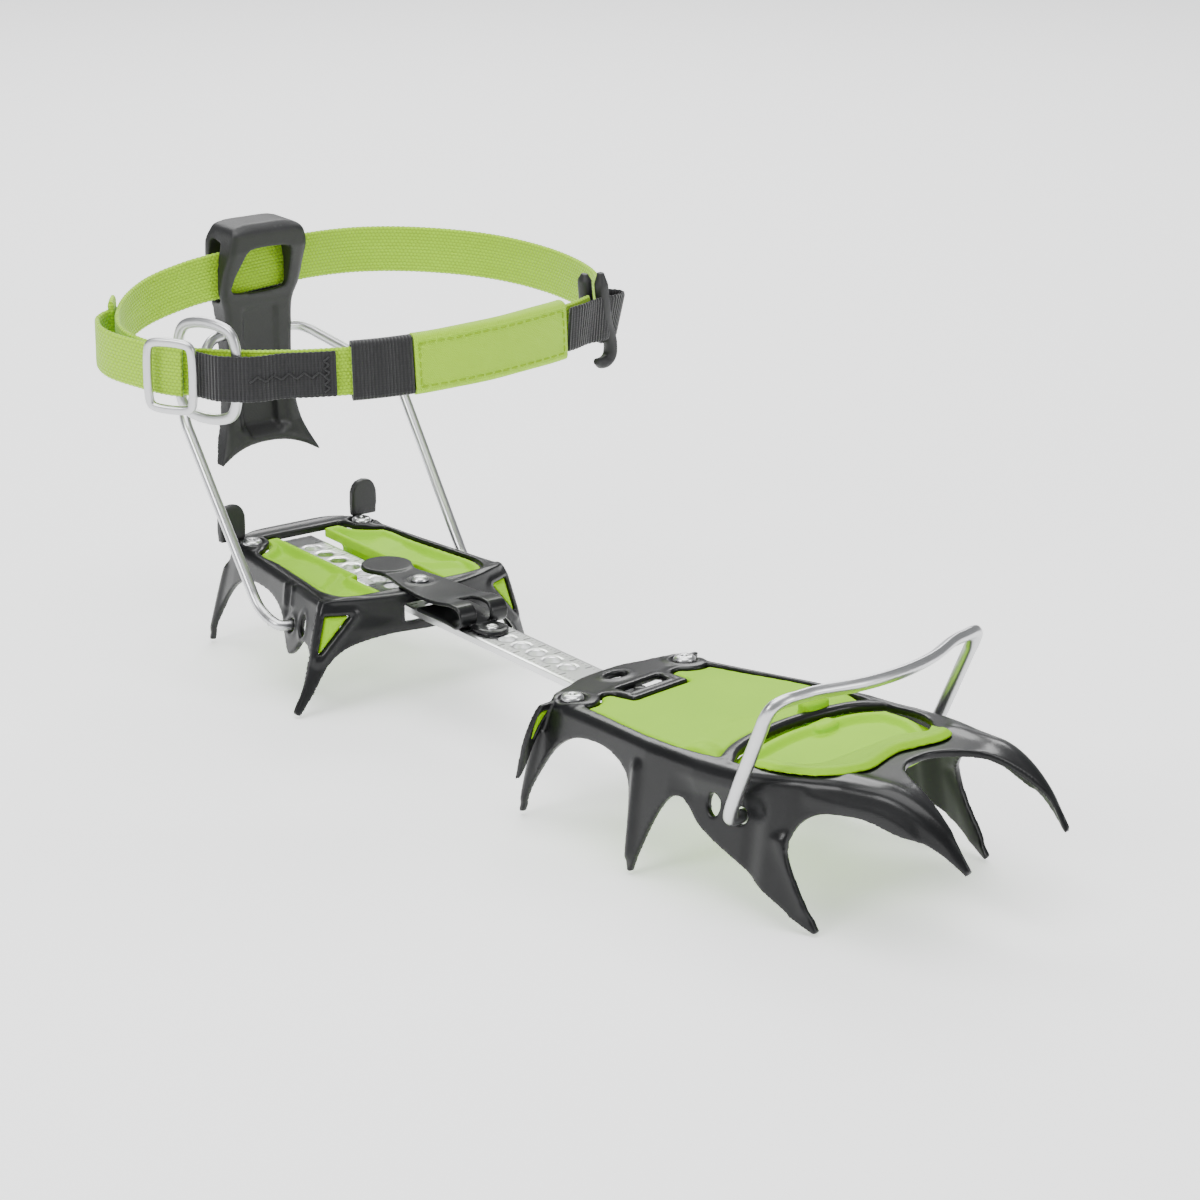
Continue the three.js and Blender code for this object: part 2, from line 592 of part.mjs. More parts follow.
const heelFace = fixWinding(bentSheet(facePlan, [faceWin, faceWin.map((p) => [-p[0], p[1]]), barSlot], faceSeeds, faceMap, 2.4));
const heelFrame = cut(join([heelSheet, heelFace]), [box(50, 90, -8.6, 7.6, -8.2, -3.1)]);
put('heel_frame', heelFrame, 'steel_black');

const heelField = shrink(outline(heelWindow, 5), GAP + 0.15);
const heelPlates = cut(join([
  slab(heelField, -3.4, -0.6),
  slab(outline(mirrored([[12, 0, 1], [12, 22, 1], [28, 26.2], [56, 29.6, 1], [62, 25], [62, 0]]), 5), -4.2, -STEEL - GAP),
]), [
  box(-20, 47, -9.4, 8.4, -10, 5),
  box(34, 90, -11.6, 11.4, -10, 5),
  box(62.2, 80, -40, 40, -10, -1.9),
]);
// The two sides are joined by a strap of the same moulding that passes under the bar.
const heelPad = join([
  heelPlates,
  box(8, 30, -13.5, 12.5, -9.8, -7.6),
  box(8, 30, -13.5, -9.6, -9, -2.8),
  box(8, 30, 8.6, 12.5, -9, -2.8),
]);
put('heel_pad', heelPad, 'lime');

const cornerInsert = (sd) => {
  const pts = outline([[27.8, -5.1, 1], [34.6, -5.1, 1], [37.8, -16.6, 1]], 30);
  const g = fixWinding(slab(pts, -2.3, -0.1));
  const p = g.getAttribute('position');
  for (let i = 0; i < p.count; i += 1) {
    const [y, z, t] = [p.getX(i), p.getY(i), p.getZ(i)];
    const q = faceMap(y, z, t);
    p.setXYZ(i, q[0], sd * q[1], q[2]);
  }
  return fixWinding(g);
};
put('heel_corner_insert_near', cornerInsert(-1), 'lime');
put('heel_corner_insert_far', cornerInsert(1), 'lime');

[-1, 1].forEach((sd) => {
  const tag = sd < 0 ? 'near' : 'far';
  put(`heel_rivet_${tag}`, drum(3.3, 1.3).translate(0.4, sd * 21.6, 1.0), 'rivet');
  const tab = outline([[sd * 26 - 4.6, 0.6, 1], [sd * 26 + 4.6, 0.6, 1], [sd * 26 + 4.8, 9], [sd * 26 + 2.6, 12.6],
    [sd * 26 - 2.6, 12.6], [sd * 26 - 4.8, 9]], 3);
  const post = sideSlab(tab, 0, 2.6).rotateZ(Math.PI / 2);
  put(`heel_stop_${tag}`, fixWinding(post).translate(-4.2, 0, -0.2), 'plastic_black');
});

// Wire frame of the heel binding: feet through the flange holes, bent in to the lever's axle.
const LEVER_AXLE = [-30, 0, 63.5];
const heelSide = (sd) => [
  [45.8, sd * 31.2, -13.2], [45.8, sd * 39.6, -13.2], [35.5, sd * 40.6, -9.6], [-7.6, sd * 42, 46],
  [-30, sd * 17.5, 63.5],
];
const heelPath = rounded([...heelSide(-1), ...heelSide(1).reverse()], 4.5);
put('heel_wire', wire(heelPath, HEEL_WIRE_R, 100, 10), 'wire');

// Heel lever: a flat body with the strap window above and a flared thumb end below.
const leverFront = outline(mirrored([[101, 0], [100.2, 9], [96, 14.6], [82, 15.6], [74, 13.2], [56, 12.8], [40, 13.6],
  [29, 16.4], [21, 19, 1], [25, 9], [26.4, 0]]).map((p) => [p[1], p[0], p[2]]), 4);
const leverWindow = outline([[-9.6, 94, 1], [9.6, 94, 1], [10.4, 77, 1], [-10.4, 77, 1]], 30);
const axleBore = (r) => fixWinding(new THREE.CylinderGeometry(r, r, 60, 16)).translate(LEVER_AXLE[0], 0, LEVER_AXLE[2]);
const leverBlank = fixWinding(slab(leverFront, -9, 9, [leverWindow]).rotateX(Math.PI / 2).rotateZ(Math.PI / 2))
  .translate(LEVER_AXLE[0], 0, 0);
const leverProfile = outline([[-35.6, 101, 1], [-27, 101.4], [-24.6, 97], [-24.4, 77], [-26, 70], [-26.2, 46], [-24.4, 32],
  [-20.6, 20.6, 1], [-25.4, 20.6, 1], [-30.4, 28], [-33.4, 44], [-34, 58], [-36, 71], [-37.2, 84], [-37, 95]], 5);
const lever = cut(geometry(solid(indexed(leverBlank)).intersect(solid(sideSlab(leverProfile, -30, 30)))), [
  axleBore(HEEL_WIRE_R + 0.3),
  box(-33.8, -28.9, -30, 30, 75.6, 96),
  box(-29.2, -18, -9.4, 9.4, 31, 56),
]);
put('heel_lever', lever, 'plastic_black');

// Adjusting clip: a folded spring leaf with a round press tab, two rolled loops and the pin leaf.
const clipSide = [
  [57, 0.5], [86, 0.5], [92, 1.6], [97, 2.6], [101.6, 1.8], [104.2, -0.6], [103.6, -3.0], [101.4, -4.0],
  [80, -4.0], [80, -2.8], [100.4, -2.8], [102.4, -1.8], [102.6, -0.4], [100.6, 0.8], [97, 1.4], [92, 0.4], [86, -0.7], [57, -0.7],
].map((p) => [p[0], p[1] + 1.1]);
const clipBody = sideSlab(clipSide.slice().reverse(), -9.2, 8.8);
const clipTab = slab(outline([[60, -7, 1], [60, 6, 1], [56, 5.6], [50, 8], [43.6, 5], [41.4, -0.4], [43.6, -5.8], [50, -8.8],
  [56, -6.8]], 3), 0.46, 1.54);
const pinLeaf = slab(outline([[96, -3.8, 1], [104, -4.6], [110, -5.2], [114.4, -2.8], [115.2, 0.4], [112, 4.2], [106, 4],
  [96, 3.4, 1]], 3), BAR_TOP + 1.56, BAR_TOP + 2.64);
const clip = cut(join([clipBody, clipTab, pinLeaf]), [box(90.5, 101.2, -2.2, 2.4, -0.8, 6), box(100, 108, -2.2, 2.4, -1.6, 6)]);
put('adjust_clip', clip, 'steel_black');
put('clip_rivet', drum(2.7, 1.2).scale(1.15, 1, 1).translate(69, -0.4, 2.6), 'rivet');
put('clip_pin', drum(2.1, 0.9).translate(109.6, -0.5, BAR_TOP + 3.6), 'rivet');

// ---- strap --------------------------------------------------------------------------------
// Centre line of the webbing around the ankle: [x, y, z of its middle].
const STRAP = [
  [60, 78, 77.4], [44, 86.5, 79.4], [20, 88, 81.4], [-4, 80, 83.2], [-21, 63, 84.8], [-30, 42, 86],
  [-31.2, 22, 86.4], [-30, 8, 86], [-30, -8, 84.8], [-32, -24, 82.6], [-30, -42, 79], [-18, -58, 75.4], [0, -67, 72.6],
  [20, -64, 71.2], [36, -52.5, 71], [48, -38, 71.2], [58, -20, 71.6], [65, 0, 72.4], [69, 22, 73.8], [69.6, 44, 75.4],
  [67.6, 60, 76.4], [64.4, 70, 77],
];
const strapCurve = new THREE.CatmullRomCurve3(STRAP.map((p) => new THREE.Vector3(...p)), false, 'centripetal');
const STRAP_LEN = strapCurve.getLength();

// Flat band that follows the strap line between two lengths, set off outwards by layer(u).
function band(u0, u1, layer, width, thick, steps, rise = () => 0) {
  const pos = [];
  const idx = [];
  for (let i = 0; i <= steps; i += 1) {
    const u = lerp(u0, u1, i / steps);
    const f = Math.min(1, Math.max(0, u / STRAP_LEN));
    const p = strapCurve.getPointAt(f);
    const t = strapCurve.getTangentAt(f);
    const n = new THREE.Vector3(t.y, -t.x, 0).normalize();
    const up = new THREE.Vector3().crossVectors(n, t).normalize();
    if (up.z < 0) up.negate();
    const l = layer(u);
    [[1, 1], [1, -1], [-1, -1], [-1, 1]].forEach(([a, b]) => {
      const q = p.clone().addScaledVector(n, l + a * thick / 2).addScaledVector(up, b * width / 2 + rise(u));
      pos.push(q.x, q.y, q.z);
    });
    if (i > 0) {
      for (let k = 0; k < 4; k += 1) {
        const a = (i - 1) * 4 + k;
        const b = (i - 1) * 4 + (k + 1) % 4;
        idx.push(a, b, b + 4);
        idx.push(a, b + 4, a + 4);
      }
    }
  }
  const e = steps * 4;
  idx.push(0, 2, 1, 0, 3, 2, e, e + 1, e + 2, e, e + 2, e + 3);
  const geo = new THREE.BufferGeometry();
  geo.setAttribute('position', new THREE.Float32BufferAttribute(pos, 3));
  geo.setIndex(idx);
  return fixWinding(geo);
}

// Where the buckle sits along the strap, measured from the far end.
const U_RING = 268;
const U_SLEEVE = 343;
const flat = (l) => () => l;
put('strap_main', band(0, STRAP_LEN, flat(0), WEB_W, WEB_T, 96), 'web_lime');
put('strap_ring_loop', band(U_RING - 40, U_RING + 2, (u) => lerp(6.4, 2.2, smooth(U_RING - 34, U_RING - 12, u)),
  WEB_W, WEB_T, 20), 'web_lime');
const tabLayer = (u) => (u < U_RING + 19 ? lerp(2.3, 6.5, smooth(U_RING + 5, U_RING + 16, u))
  : lerp(6.5, 1.95, smooth(U_RING + 23, U_RING + 36, u)));
put('strap_tab_black', band(U_RING + 4.6, U_RING + 50, tabLayer, WEB_W - 1, 1.3, 26), 'web_black');

// Closed sleeve of webbing around the strap.
function tube(u0, u1, clear, wall, steps) {
  const outer = band(u0, u1, flat(0), WEB_W + 2 * (clear + wall), WEB_T + 2 * (clear + wall), steps);
  const innerSpace = band(u0 - 1, u1 + 1, flat(0), WEB_W + 2 * clear, WEB_T + 2 * clear, steps + 2);
  return cut(outer, [innerSpace]);
}
put('strap_keeper', tube(U_SLEEVE - 20, U_SLEEVE - 0.5, 0.45, 1.1, 8), 'web_black');
put('strap_sleeve', tube(U_SLEEVE, U_SLEEVE + 56, 0.5, 1.4, 18), 'lime');
const frontEnd = Math.min(STRAP_LEN - 0.5, U_SLEEVE + 80);
put('strap_front_black', band(U_SLEEVE + 56.6, frontEnd, flat(2.0), WEB_W, 1.5, 10), 'web_black');

const strapFrame = (u) => {
  const f = u / STRAP_LEN;
  const p = strapCurve.getPointAt(f);
  const t = strapCurve.getTangentAt(f);
  const n = new THREE.Vector3(t.y, -t.x, 0).normalize();
  return { p, t, n };
};
// Ring of wire lying against the strap: hw and hh are half width and half height, skew leans it.
function ringOn(u, layer, hw, hh, r, skew, q, rise) {
  const { p, t, n } = strapFrame(u);
  const side = new THREE.Vector3(t.x, t.y, 0).normalize();
  const pts = [];
  const corner = [[1, 1], [-1, 1], [-1, -1], [1, -1]];
  corner.forEach(([a, b], k) => {
    for (let i = 0; i <= 2; i += 1) {
      const ang = (k + i / 2) * Math.PI / 2;
      const uu = a * (hw - q) + q * Math.cos(ang);
      const zz = b * (hh - q) + q * Math.sin(ang);
      const at = p.clone().addScaledVector(side, uu).addScaledVector(n, layer + skew * uu);
      pts.push([at.x, at.y, at.z + zz + rise]);
    }
  });
  return wire(pts, r, 44, 8, true);
}
put('slider_ring', ringOn(U_RING, 6.1, 7.6, 10.6, 1.35, 0, 2.6, -0.4), 'wire');
put('d_ring', ringOn(U_RING + 9.5, -0.1, 10.4, 15.2, 1.5, 0.33, 6.5, 0.6), 'wire');

// Hook plate at the far front of the strap.
const hookAt = strapFrame(STRAP_LEN - 1);
const hookPlan = outline([[-3.2, -13, 1], [1, -16.4], [4, -13], [3.6, -9.4, 1], [2.2, 9.4, 1], [2.4, 14], [0, 18.4], [-2.6, 15],
  [-2.4, 9, 1]], 3);
const hookGeo = fixWinding(slab(hookPlan, -1.1, 1.1)).applyMatrix4(new THREE.Matrix4().makeBasis(
  new THREE.Vector3(hookAt.t.x, hookAt.t.y, 0).normalize(), new THREE.Vector3(0, 0, 1), hookAt.n.clone()));
const hp = hookAt.p.clone().addScaledVector(new THREE.Vector3(hookAt.t.x, hookAt.t.y, 0).normalize(), 6.2);
put('strap_hook', hookGeo.translate(hp.x, hp.y, hp.z + 0.5), 'plastic_black');

export default root;
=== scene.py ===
import json
import math

import bmesh
import bpy
import numpy as np
from mathutils import Matrix, Vector
from mathutils.geometry import delaunay_2d_cdt


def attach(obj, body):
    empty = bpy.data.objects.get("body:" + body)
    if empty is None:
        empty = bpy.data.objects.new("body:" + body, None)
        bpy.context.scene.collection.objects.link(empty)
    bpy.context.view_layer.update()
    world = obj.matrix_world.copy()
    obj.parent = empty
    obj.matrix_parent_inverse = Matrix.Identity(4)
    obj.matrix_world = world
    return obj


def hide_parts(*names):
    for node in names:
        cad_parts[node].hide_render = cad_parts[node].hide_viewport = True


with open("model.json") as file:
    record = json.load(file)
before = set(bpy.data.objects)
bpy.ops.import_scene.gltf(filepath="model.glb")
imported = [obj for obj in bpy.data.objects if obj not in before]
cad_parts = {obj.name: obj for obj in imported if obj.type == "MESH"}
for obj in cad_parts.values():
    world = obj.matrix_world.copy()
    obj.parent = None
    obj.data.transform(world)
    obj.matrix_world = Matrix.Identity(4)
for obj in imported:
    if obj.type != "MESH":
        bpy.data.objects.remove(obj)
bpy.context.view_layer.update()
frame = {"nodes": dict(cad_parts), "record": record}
NODES = frame["nodes"]

# ---------------------------------------------------------------- frames and helpers
SHIFT = Vector((-146.01, -8.06, 36.445))
TOE_AT, TOE_YAW, TOE_PITCH = Vector((180.9, -0.5, 0.8)), math.radians(9.1), math.radians(1.8)
HOLE_X, HOLE_PITCH, BAR_Y = 4.1, 8.1, -0.5  # first size hole, spacing and axis of the bar
TOE = Matrix.Translation(TOE_AT) @ Matrix.Rotation(TOE_YAW, 4, "Z") @ Matrix.Rotation(-TOE_PITCH, 4, "Y")


def W(p):
    """Working millimetres to row metres."""
    return (Vector(p) + SHIFT) / 1000


def body_for(node):
    for name, nodes in frame["record"]["behaviour"]["bodies"].items():
        if node in nodes:
            return name
    raise ValueError(node)


def in_scene(obj):
    bpy.context.scene.collection.objects.link(obj)
    return obj


def apply_modifiers(obj):
    dep = bpy.context.evaluated_depsgraph_get()
    mesh = bpy.data.meshes.new_from_object(obj.evaluated_get(dep))
    old = obj.data
    obj.modifiers.clear()
    obj.data = mesh
    bpy.data.meshes.remove(old)
    return obj


def voxel_round(obj, voxel, smooth):
    """Fuse an object's solids with a voxel remesh (size in millimetres), then smooth it."""
    m = obj.modifiers.new("voxel", "REMESH")
    m.mode = "VOXEL"
    m.voxel_size = voxel / 1000
    m.adaptivity = 0
    apply_modifiers(obj)
    s = obj.modifiers.new("smooth", "SMOOTH")
    s.factor = 0.5
    s.iterations = smooth
    apply_modifiers(obj)


def dress(obj, mat, node, angle=None):
    """Material, smooth shading and body of a finished mesh."""
    obj.data.materials.clear()
    obj.data.materials.append(mat)
    for p in obj.data.polygons:
        p.use_smooth = True
    if angle is not None:
        obj.data.set_sharp_from_angle(angle=math.radians(angle))
    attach(obj, body_for(node))
    return obj


def cad_copy(node):
    """A welded copy of a CAD node's mesh as a free object."""
    src = NODES[node]
    me = src.data.copy()
    bm = bmesh.new()
    bm.from_mesh(me)
    bmesh.ops.remove_doubles(bm, verts=bm.verts, dist=1e-6)
    bmesh.ops.recalc_face_normals(bm, faces=bm.faces)
    bm.to_mesh(me)
    bm.free()
    return in_scene(bpy.data.objects.new(node + "_look", me))


def soften(node, mat, voxel, smooth):
    """Rounded skin for a hard CAD node."""
    obj = cad_copy(node)
    voxel_round(obj, voxel, smooth)
    dress(obj, mat, node)
    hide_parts(node)


# ---------------------------------------------------------------- materials
class Mat:
    """Small wrapper to lay out a node material."""

    def __init__(self, name):
        self.m = bpy.data.materials.new(name)
        self.m.use_nodes = True
        self.t = self.m.node_tree
        self.b = self.t.nodes["Principled BSDF"]

    def n(self, kind, **kw):
        node = self.t.nodes.new(kind)
        for k, v in kw.items():
            setattr(node, k, v)
        return node

    def link(self, a, b):
        self.t.links.new(a, b)

    def set(self, **kw):
        for k, v in kw.items():
            self.b.inputs[k.replace("_", " ")].default_value = v

    def coords(self, scale=(1, 1, 1)):
        tc = self.n("ShaderNodeTexCoord")
        mp = self.n("ShaderNodeMapping")
        mp.inputs["Scale"].default_value = scale
        self.link(tc.outputs["Object"], mp.inputs["Vector"])
        return mp.outputs["Vector"]

    def noise(self, vec, scale, detail=4, rough=0.55):
        n = self.n("ShaderNodeTexNoise")
        n.inputs["Scale"].default_value = scale
        n.inputs["Detail"].default_value = detail
        n.inputs["Roughness"].default_value = rough
        self.link(vec, n.inputs["Vector"])
        return n.outputs["Fac"]

    def map(self, fac, lo, hi, a=0.0, b=1.0):
        r = self.n("ShaderNodeMapRange")
        r.inputs["From Min"].default_value = a
        r.inputs["From Max"].default_value = b
        r.inputs["To Min"].default_value = lo
        r.inputs["To Max"].default_value = hi
        self.link(fac, r.inputs["Value"])
        return r.outputs["Result"]

    def math(self, op, a, b=0):
        m = self.n("ShaderNodeMath", operation=op)
        for i, v in enumerate((a, b)):
            if isinstance(v, (int, float)):
                m.inputs[i].default_value = v
            else:
                self.link(v, m.inputs[i])
        return m.outputs[0]

    def mix(self, fac, a, b):
        m = self.n("ShaderNodeMix", data_type="RGBA")
        for sock, v in ((m.inputs[0], fac), (m.inputs[6], a), (m.inputs[7], b)):
            if isinstance(v, (int, float)):
                sock.default_value = v
            elif isinstance(v, tuple):
                sock.default_value = (*v, 1)
            else:
                self.link(v, sock)
        return m.outputs[2]

    def bump(self, height, strength, distance):
        b = self.n("ShaderNodeBump")
        b.inputs["Strength"].default_value = strength
        b.inputs["Distance"].default_value = distance
        self.link(height, b.inputs["Height"])
        return b.outputs["Normal"]

    def edge(self, lo, hi):
        g = self.n("ShaderNodeNewGeometry")
        return self.map(g.outputs["Pointiness"], 0.0, 1.0, lo, hi)


def coated_steel():
    k = Mat("black_coated_steel")
    v = k.coords()
    fine = k.noise(v, 2600, 3, 0.6)
    wide = k.noise(v, 60, 4, 0.5)
    base = k.mix(k.map(wide, 0, 1, 0.3, 0.7), (0.004, 0.0042, 0.0046), (0.0075, 0.0079, 0.0086))
    scuff = k.noise(v, 420, 6, 0.7)
    edge = k.math("MULTIPLY", k.edge(0.53, 0.62), k.map(scuff, 0, 1, 0.5, 0.72))
    col = k.mix(k.math("MULTIPLY", edge, 0.16), base, (0.1, 0.103, 0.107))
    k.link(col, k.b.inputs["Base Color"])
    rough = k.math("ADD", k.map(fine, 0.27, 0.36), k.map(wide, -0.05, 0.06))
    k.link(rough, k.b.inputs["Roughness"])
    k.set(Metallic=0.0, IOR=1.35, Coat_Weight=0.12, Coat_Roughness=0.14)
    k.link(k.bump(fine, 0.12, 0.00015), k.b.inputs["Normal"])
    return k.m


def lime_plastic():
    k = Mat("lime_plastic")
    v = k.coords()
    grain = k.noise(v, 1900, 3, 0.6)
    wide = k.noise(v, 35, 4, 0.5)
    col = k.mix(k.map(wide, 0, 1, 0.35, 0.65), (0.265, 0.56, 0.0), (0.29, 0.60, 0.0))
    dirt = k.noise(v, 160, 6, 0.65)
    col = k.mix(k.map(dirt, 0, 0.16, 0.62, 0.8), col, (0.31, 0.54, 0.0))
    k.link(col, k.b.inputs["Base Color"])
    k.link(k.map(grain, 0.5, 0.62), k.b.inputs["Roughness"])
    k.set(IOR=1.4, Specular_IOR_Level=0.2, Subsurface_Weight=0.08, Subsurface_Scale=0.002)
    k.b.inputs["Subsurface Radius"].default_value = (1.0, 1.0, 0.2)
    k.link(k.bump(grain, 0.12, 0.00012), k.b.inputs["Normal"])
    return k.m


def black_plastic():
    k = Mat("black_plastic")
    v = k.coords()
    grain = k.noise(v, 1500, 4, 0.6)
    cell = k.n("ShaderNodeTexVoronoi")
    cell.inputs["Scale"].default_value = 1400
    k.link(v, cell.inputs["Vector"])
    wide = k.noise(v, 50, 4, 0.5)
    col = k.mix(k.map(wide, 0, 1, 0.3, 0.7), (0.0085, 0.0088, 0.0094), (0.014, 0.0143, 0.0152))
    edge = k.edge(0.53, 0.64)
    col = k.mix(k.math("MULTIPLY", edge, 0.15), col, (0.08, 0.081, 0.084))
    k.link(col, k.b.inputs["Base Color"])
    k.link(k.map(grain, 0.44, 0.58), k.b.inputs["Roughness"])
    k.set(IOR=1.5)
    height = k.math("ADD", cell.outputs["Distance"], grain)
    k.link(k.bump(height, 0.22, 0.00015), k.b.inputs["Normal"])
    return k.m


def metal_nodes(name, colour, rough, streak, scale, bump, dirt):
    """Bare metal; streak stretches the fine grain and dirt darkens patches."""
    k = Mat(name)
    v = k.coords(streak)
    fine = k.noise(v, scale, 4, 0.6)
    wide = k.noise(k.coords(), 120, 4, 0.6)
    dark = tuple(c * 0.72 for c in colour)
    col = k.mix(k.math("MULTIPLY", k.map(wide, 0, 1, 0.35, 0.75), dirt * 4), colour, dark)
    k.link(col, k.b.inputs["Base Color"])
    k.link(k.map(fine, rough - 0.04, rough + 0.05), k.b.inputs["Roughness"])
    k.set(Metallic=1.0, IOR=2.0)
    k.link(k.bump(fine, bump, 0.00008), k.b.inputs["Normal"])
    return k


def webbing(name, light, dark, rib=False, thread=0.9):
    """Woven tape. UV.x runs along the band and UV.y across it, both in millimetres."""
    k = Mat(name)
    uv = k.n("ShaderNodeUVMap", uv_map="mm")
    sep = k.n("ShaderNodeSeparateXYZ")
    k.link(uv.outputs["UV"], sep.inputs["Vector"])
    u, w = sep.outputs["X"], sep.outputs["Y"]
    wob = k.noise(k.coords(), 700, 2, 0.5)
    if rib:
        along = k.math("ADD", u, k.map(wob, -0.06, 0.06))
        warp = k.math("SINE", k.math("MULTIPLY", along, 2 * math.pi / 1.15))
        cross = k.math("SINE", k.math("MULTIPLY", w, 2 * math.pi / 0.8))
        h = k.math("ADD", k.math("MULTIPLY", warp, 0.8), k.math("MULTIPLY", cross, 0.12))
        h = k.map(h, 0, 1, -0.9, 0.9)
    else:
        # Plain weave: rows of rounded picks, every other column set half a pitch along.
        def from_middle(v, gain=0.6):
            """Squared distance from the middle of a cell, 0 there and gain at its edges."""
            d = k.math("ABSOLUTE", k.math("SUBTRACT", k.math("FRACT", v), 0.5))
            return k.math("MULTIPLY", k.math("POWER", k.math("MULTIPLY", d, 2), 2), gain)

        rows = k.math("DIVIDE", w, 1.25 * thread)
        odd = k.math("MODULO", k.math("ABSOLUTE", k.math("FLOOR", rows)), 2)
        picks = k.math("ADD", k.math("DIVIDE", u, 1.5 * thread), k.math("MULTIPLY", odd, 0.5))
        picks = k.math("ADD", picks, k.map(wob, -0.08, 0.08))
        h = k.math("SUBTRACT", 1, k.math("ADD", from_middle(picks), from_middle(rows)))
    fibre = k.noise(k.coords(), 3800, 3, 0.7)
    # Colour follows the weave's relief: painted shade darkens the hollows between threads, with random fibre tone
    # added on top.
    weave_shade_and_fibre_tone = k.math("ADD", k.map(h, 0.25, 1.0), k.map(fibre, -0.12, 0.12))
    col = k.mix(weave_shade_and_fibre_tone, dark, light)
    k.link(col, k.b.inputs["Base Color"])
    k.link(k.map(fibre, 0.72, 0.9), k.b.inputs["Roughness"])
    k.set(IOR=1.45, Sheen_Weight=0.25, Sheen_Roughness=0.5)
    height = k.math("ADD", h, k.math("MULTIPLY", fibre, 0.15))
    k.link(k.bump(height, 0.75, 0.00035), k.b.inputs["Normal"])
    return k.m


def bar_metal():
    """Bright rolled strip with generic ticks beside each hole."""
    k = metal_nodes("bright_bar", (0.80, 0.805, 0.81), 0.3, (0.12, 6, 1), 900, 0.06, 0.02)
    bright = k.b.inputs["Base Color"].links[0].from_socket
    sep = k.n("ShaderNodeSeparateXYZ")
    k.link(k.n("ShaderNodeTexCoord").outputs["Object"], sep.inputs["Vector"])
    x = k.math("ADD", k.math("MULTIPLY", sep.outputs["X"], 1000), -SHIFT.x - HOLE_X + 10 * HOLE_PITCH)
    y = k.math("ADD", k.math("MULTIPLY", sep.outputs["Y"], 1000), -SHIFT.y - BAR_Y)
    cell = k.math("FRACT", k.math("DIVIDE", x, HOLE_PITCH))

    def within(v, middle, reach):
        return k.math("LESS_THAN", k.math("ABSOLUTE", k.math("SUBTRACT", v, middle)), reach)

    off_axis = k.math("ABSOLUTE", y)
    long_tick = k.math("MULTIPLY", within(cell, 0.5, 0.045), within(off_axis, 4.9, 1.3))
    fine = k.math("LESS_THAN", k.math("FRACT", k.math("MULTIPLY", cell, 4)), 0.13)
    short_tick = k.math("MULTIPLY", fine, within(off_axis, 5.4, 0.5))
    mark = k.math("MULTIPLY", k.math("MAXIMUM", long_tick, short_tick), 0.8)
    k.link(k.mix(mark, bright, (0.06, 0.06, 0.065)), k.b.inputs["Base Color"])
    return k.m


STEEL = coated_steel()
LIME = lime_plastic()
PLASTIC = black_plastic()
WIRE = metal_nodes("stainless_wire", (0.6, 0.605, 0.615), 0.3, (1, 1, 1), 260, 0.012, 0.03).m
BAR = bar_metal()
RIVET = metal_nodes("rivet_steel", (0.66, 0.665, 0.67), 0.28, (1, 1, 1), 1400, 0.15, 0.1).m
SPRING = coated_steel()
SPRING.name = "blued_spring_steel"
# The second colour of each webbing is the painted shade in the hollows of its weave.
WEB_LIME = webbing("webbing_lime", (0.40, 0.71, 0.0), (0.16, 0.32, 0.0))
WEB_BLACK = webbing("webbing_black", (0.016, 0.016, 0.0175), (0.003, 0.003, 0.0035), rib=True)
PATCH = webbing("sleeve_fabric", (0.42, 0.76, 0.0), (0.31, 0.56, 0.0), thread=0.42)

# ---------------------------------------------------------------- geometry kit
VOX = 0.42  # voxel size of the moulded and pressed pieces
TOE_M = np.array(TOE)
SHIFT_M = np.array(SHIFT)


def V3(p):
    return np.array(p, dtype=float)


def to_row(pts, toe=False):
    pts = np.asarray(pts, dtype=float)
    if toe:
        pts = pts @ TOE_M[:3, :3].T + TOE_M[:3, 3]
    return (pts + SHIFT_M) / 1000


def smoothstep(a, b, x):
    t = np.clip((np.asarray(x, dtype=float) - a) / (b - a), 0, 1)
    return t * t * (3 - 2 * t)


def bumpy(x, at, width):
    return np.exp(-((np.asarray(x, dtype=float) - at) / width) ** 2)


def catmull(run, t):
    """Centripetal Catmull-Rom through run, sampled at parameters t in 0..1."""
    P = [V3(p) for p in run]
    P = [2 * P[0] - P[1]] + P + [2 * P[-1] - P[-2]]
    out = []
    n = len(run) - 1
    for s in t:
        s = min(max(s, 0.0), 1.0) * n
        i = min(int(s), n - 1)
        w = s - i
        p0, p1, p2, p3 = P[i:i + 4]
        d0, d1, d2 = (max(np.linalg.norm(b - a) ** 0.5, 1e-4) for a, b in ((p0, p1), (p1, p2), (p2, p3)))
        t1 = ((p1 - p0) / d0 - (p2 - p0) / (d0 + d1) + (p2 - p1) / d1) * d1
        t2 = ((p2 - p1) / d1 - (p3 - p1) / (d1 + d2) + (p3 - p2) / d2) * d1
        out.append((2 * p1 - 2 * p2 + t1 + t2) * w ** 3 + (-3 * p1 + 3 * p2 - 2 * t1 - t2) * w ** 2 + t1 * w + p1)
    return np.array(out)


def outline(points, step=1.2):
    """Closed outline through points; a third value of 1 marks a sharp corner."""
    n = len(points)
    sharp = [i for i, p in enumerate(points) if len(p) > 2 and p[2]]
    start = sharp[0] if sharp else 0
    ring = [points[(start + i) % n] for i in range(n + 1)]
    out, run = [], [ring[0]]
    for i in range(1, n + 1):
        run.append(ring[i])
        if (len(ring[i]) > 2 and ring[i][2]) or i == n:
            flat = [p[:2] for p in run]
            length = sum(math.dist(a, b) for a, b in zip(flat, flat[1:]))
            count = max(len(run), round(length / step))
            if len(run) == 2:
                a, b = V3(flat[0]), V3(flat[1])
                out += [a + (b - a) * k / count for k in range(count)]
            else:
                out += list(catmull(flat, np.arange(count) / count))
            run = [ring[i]]
    return np.array(out)


def mirrored(half):
    return list(half) + [(p[0], -p[1], *p[2:]) for p in reversed(half) if abs(p[1]) > 1e-6]


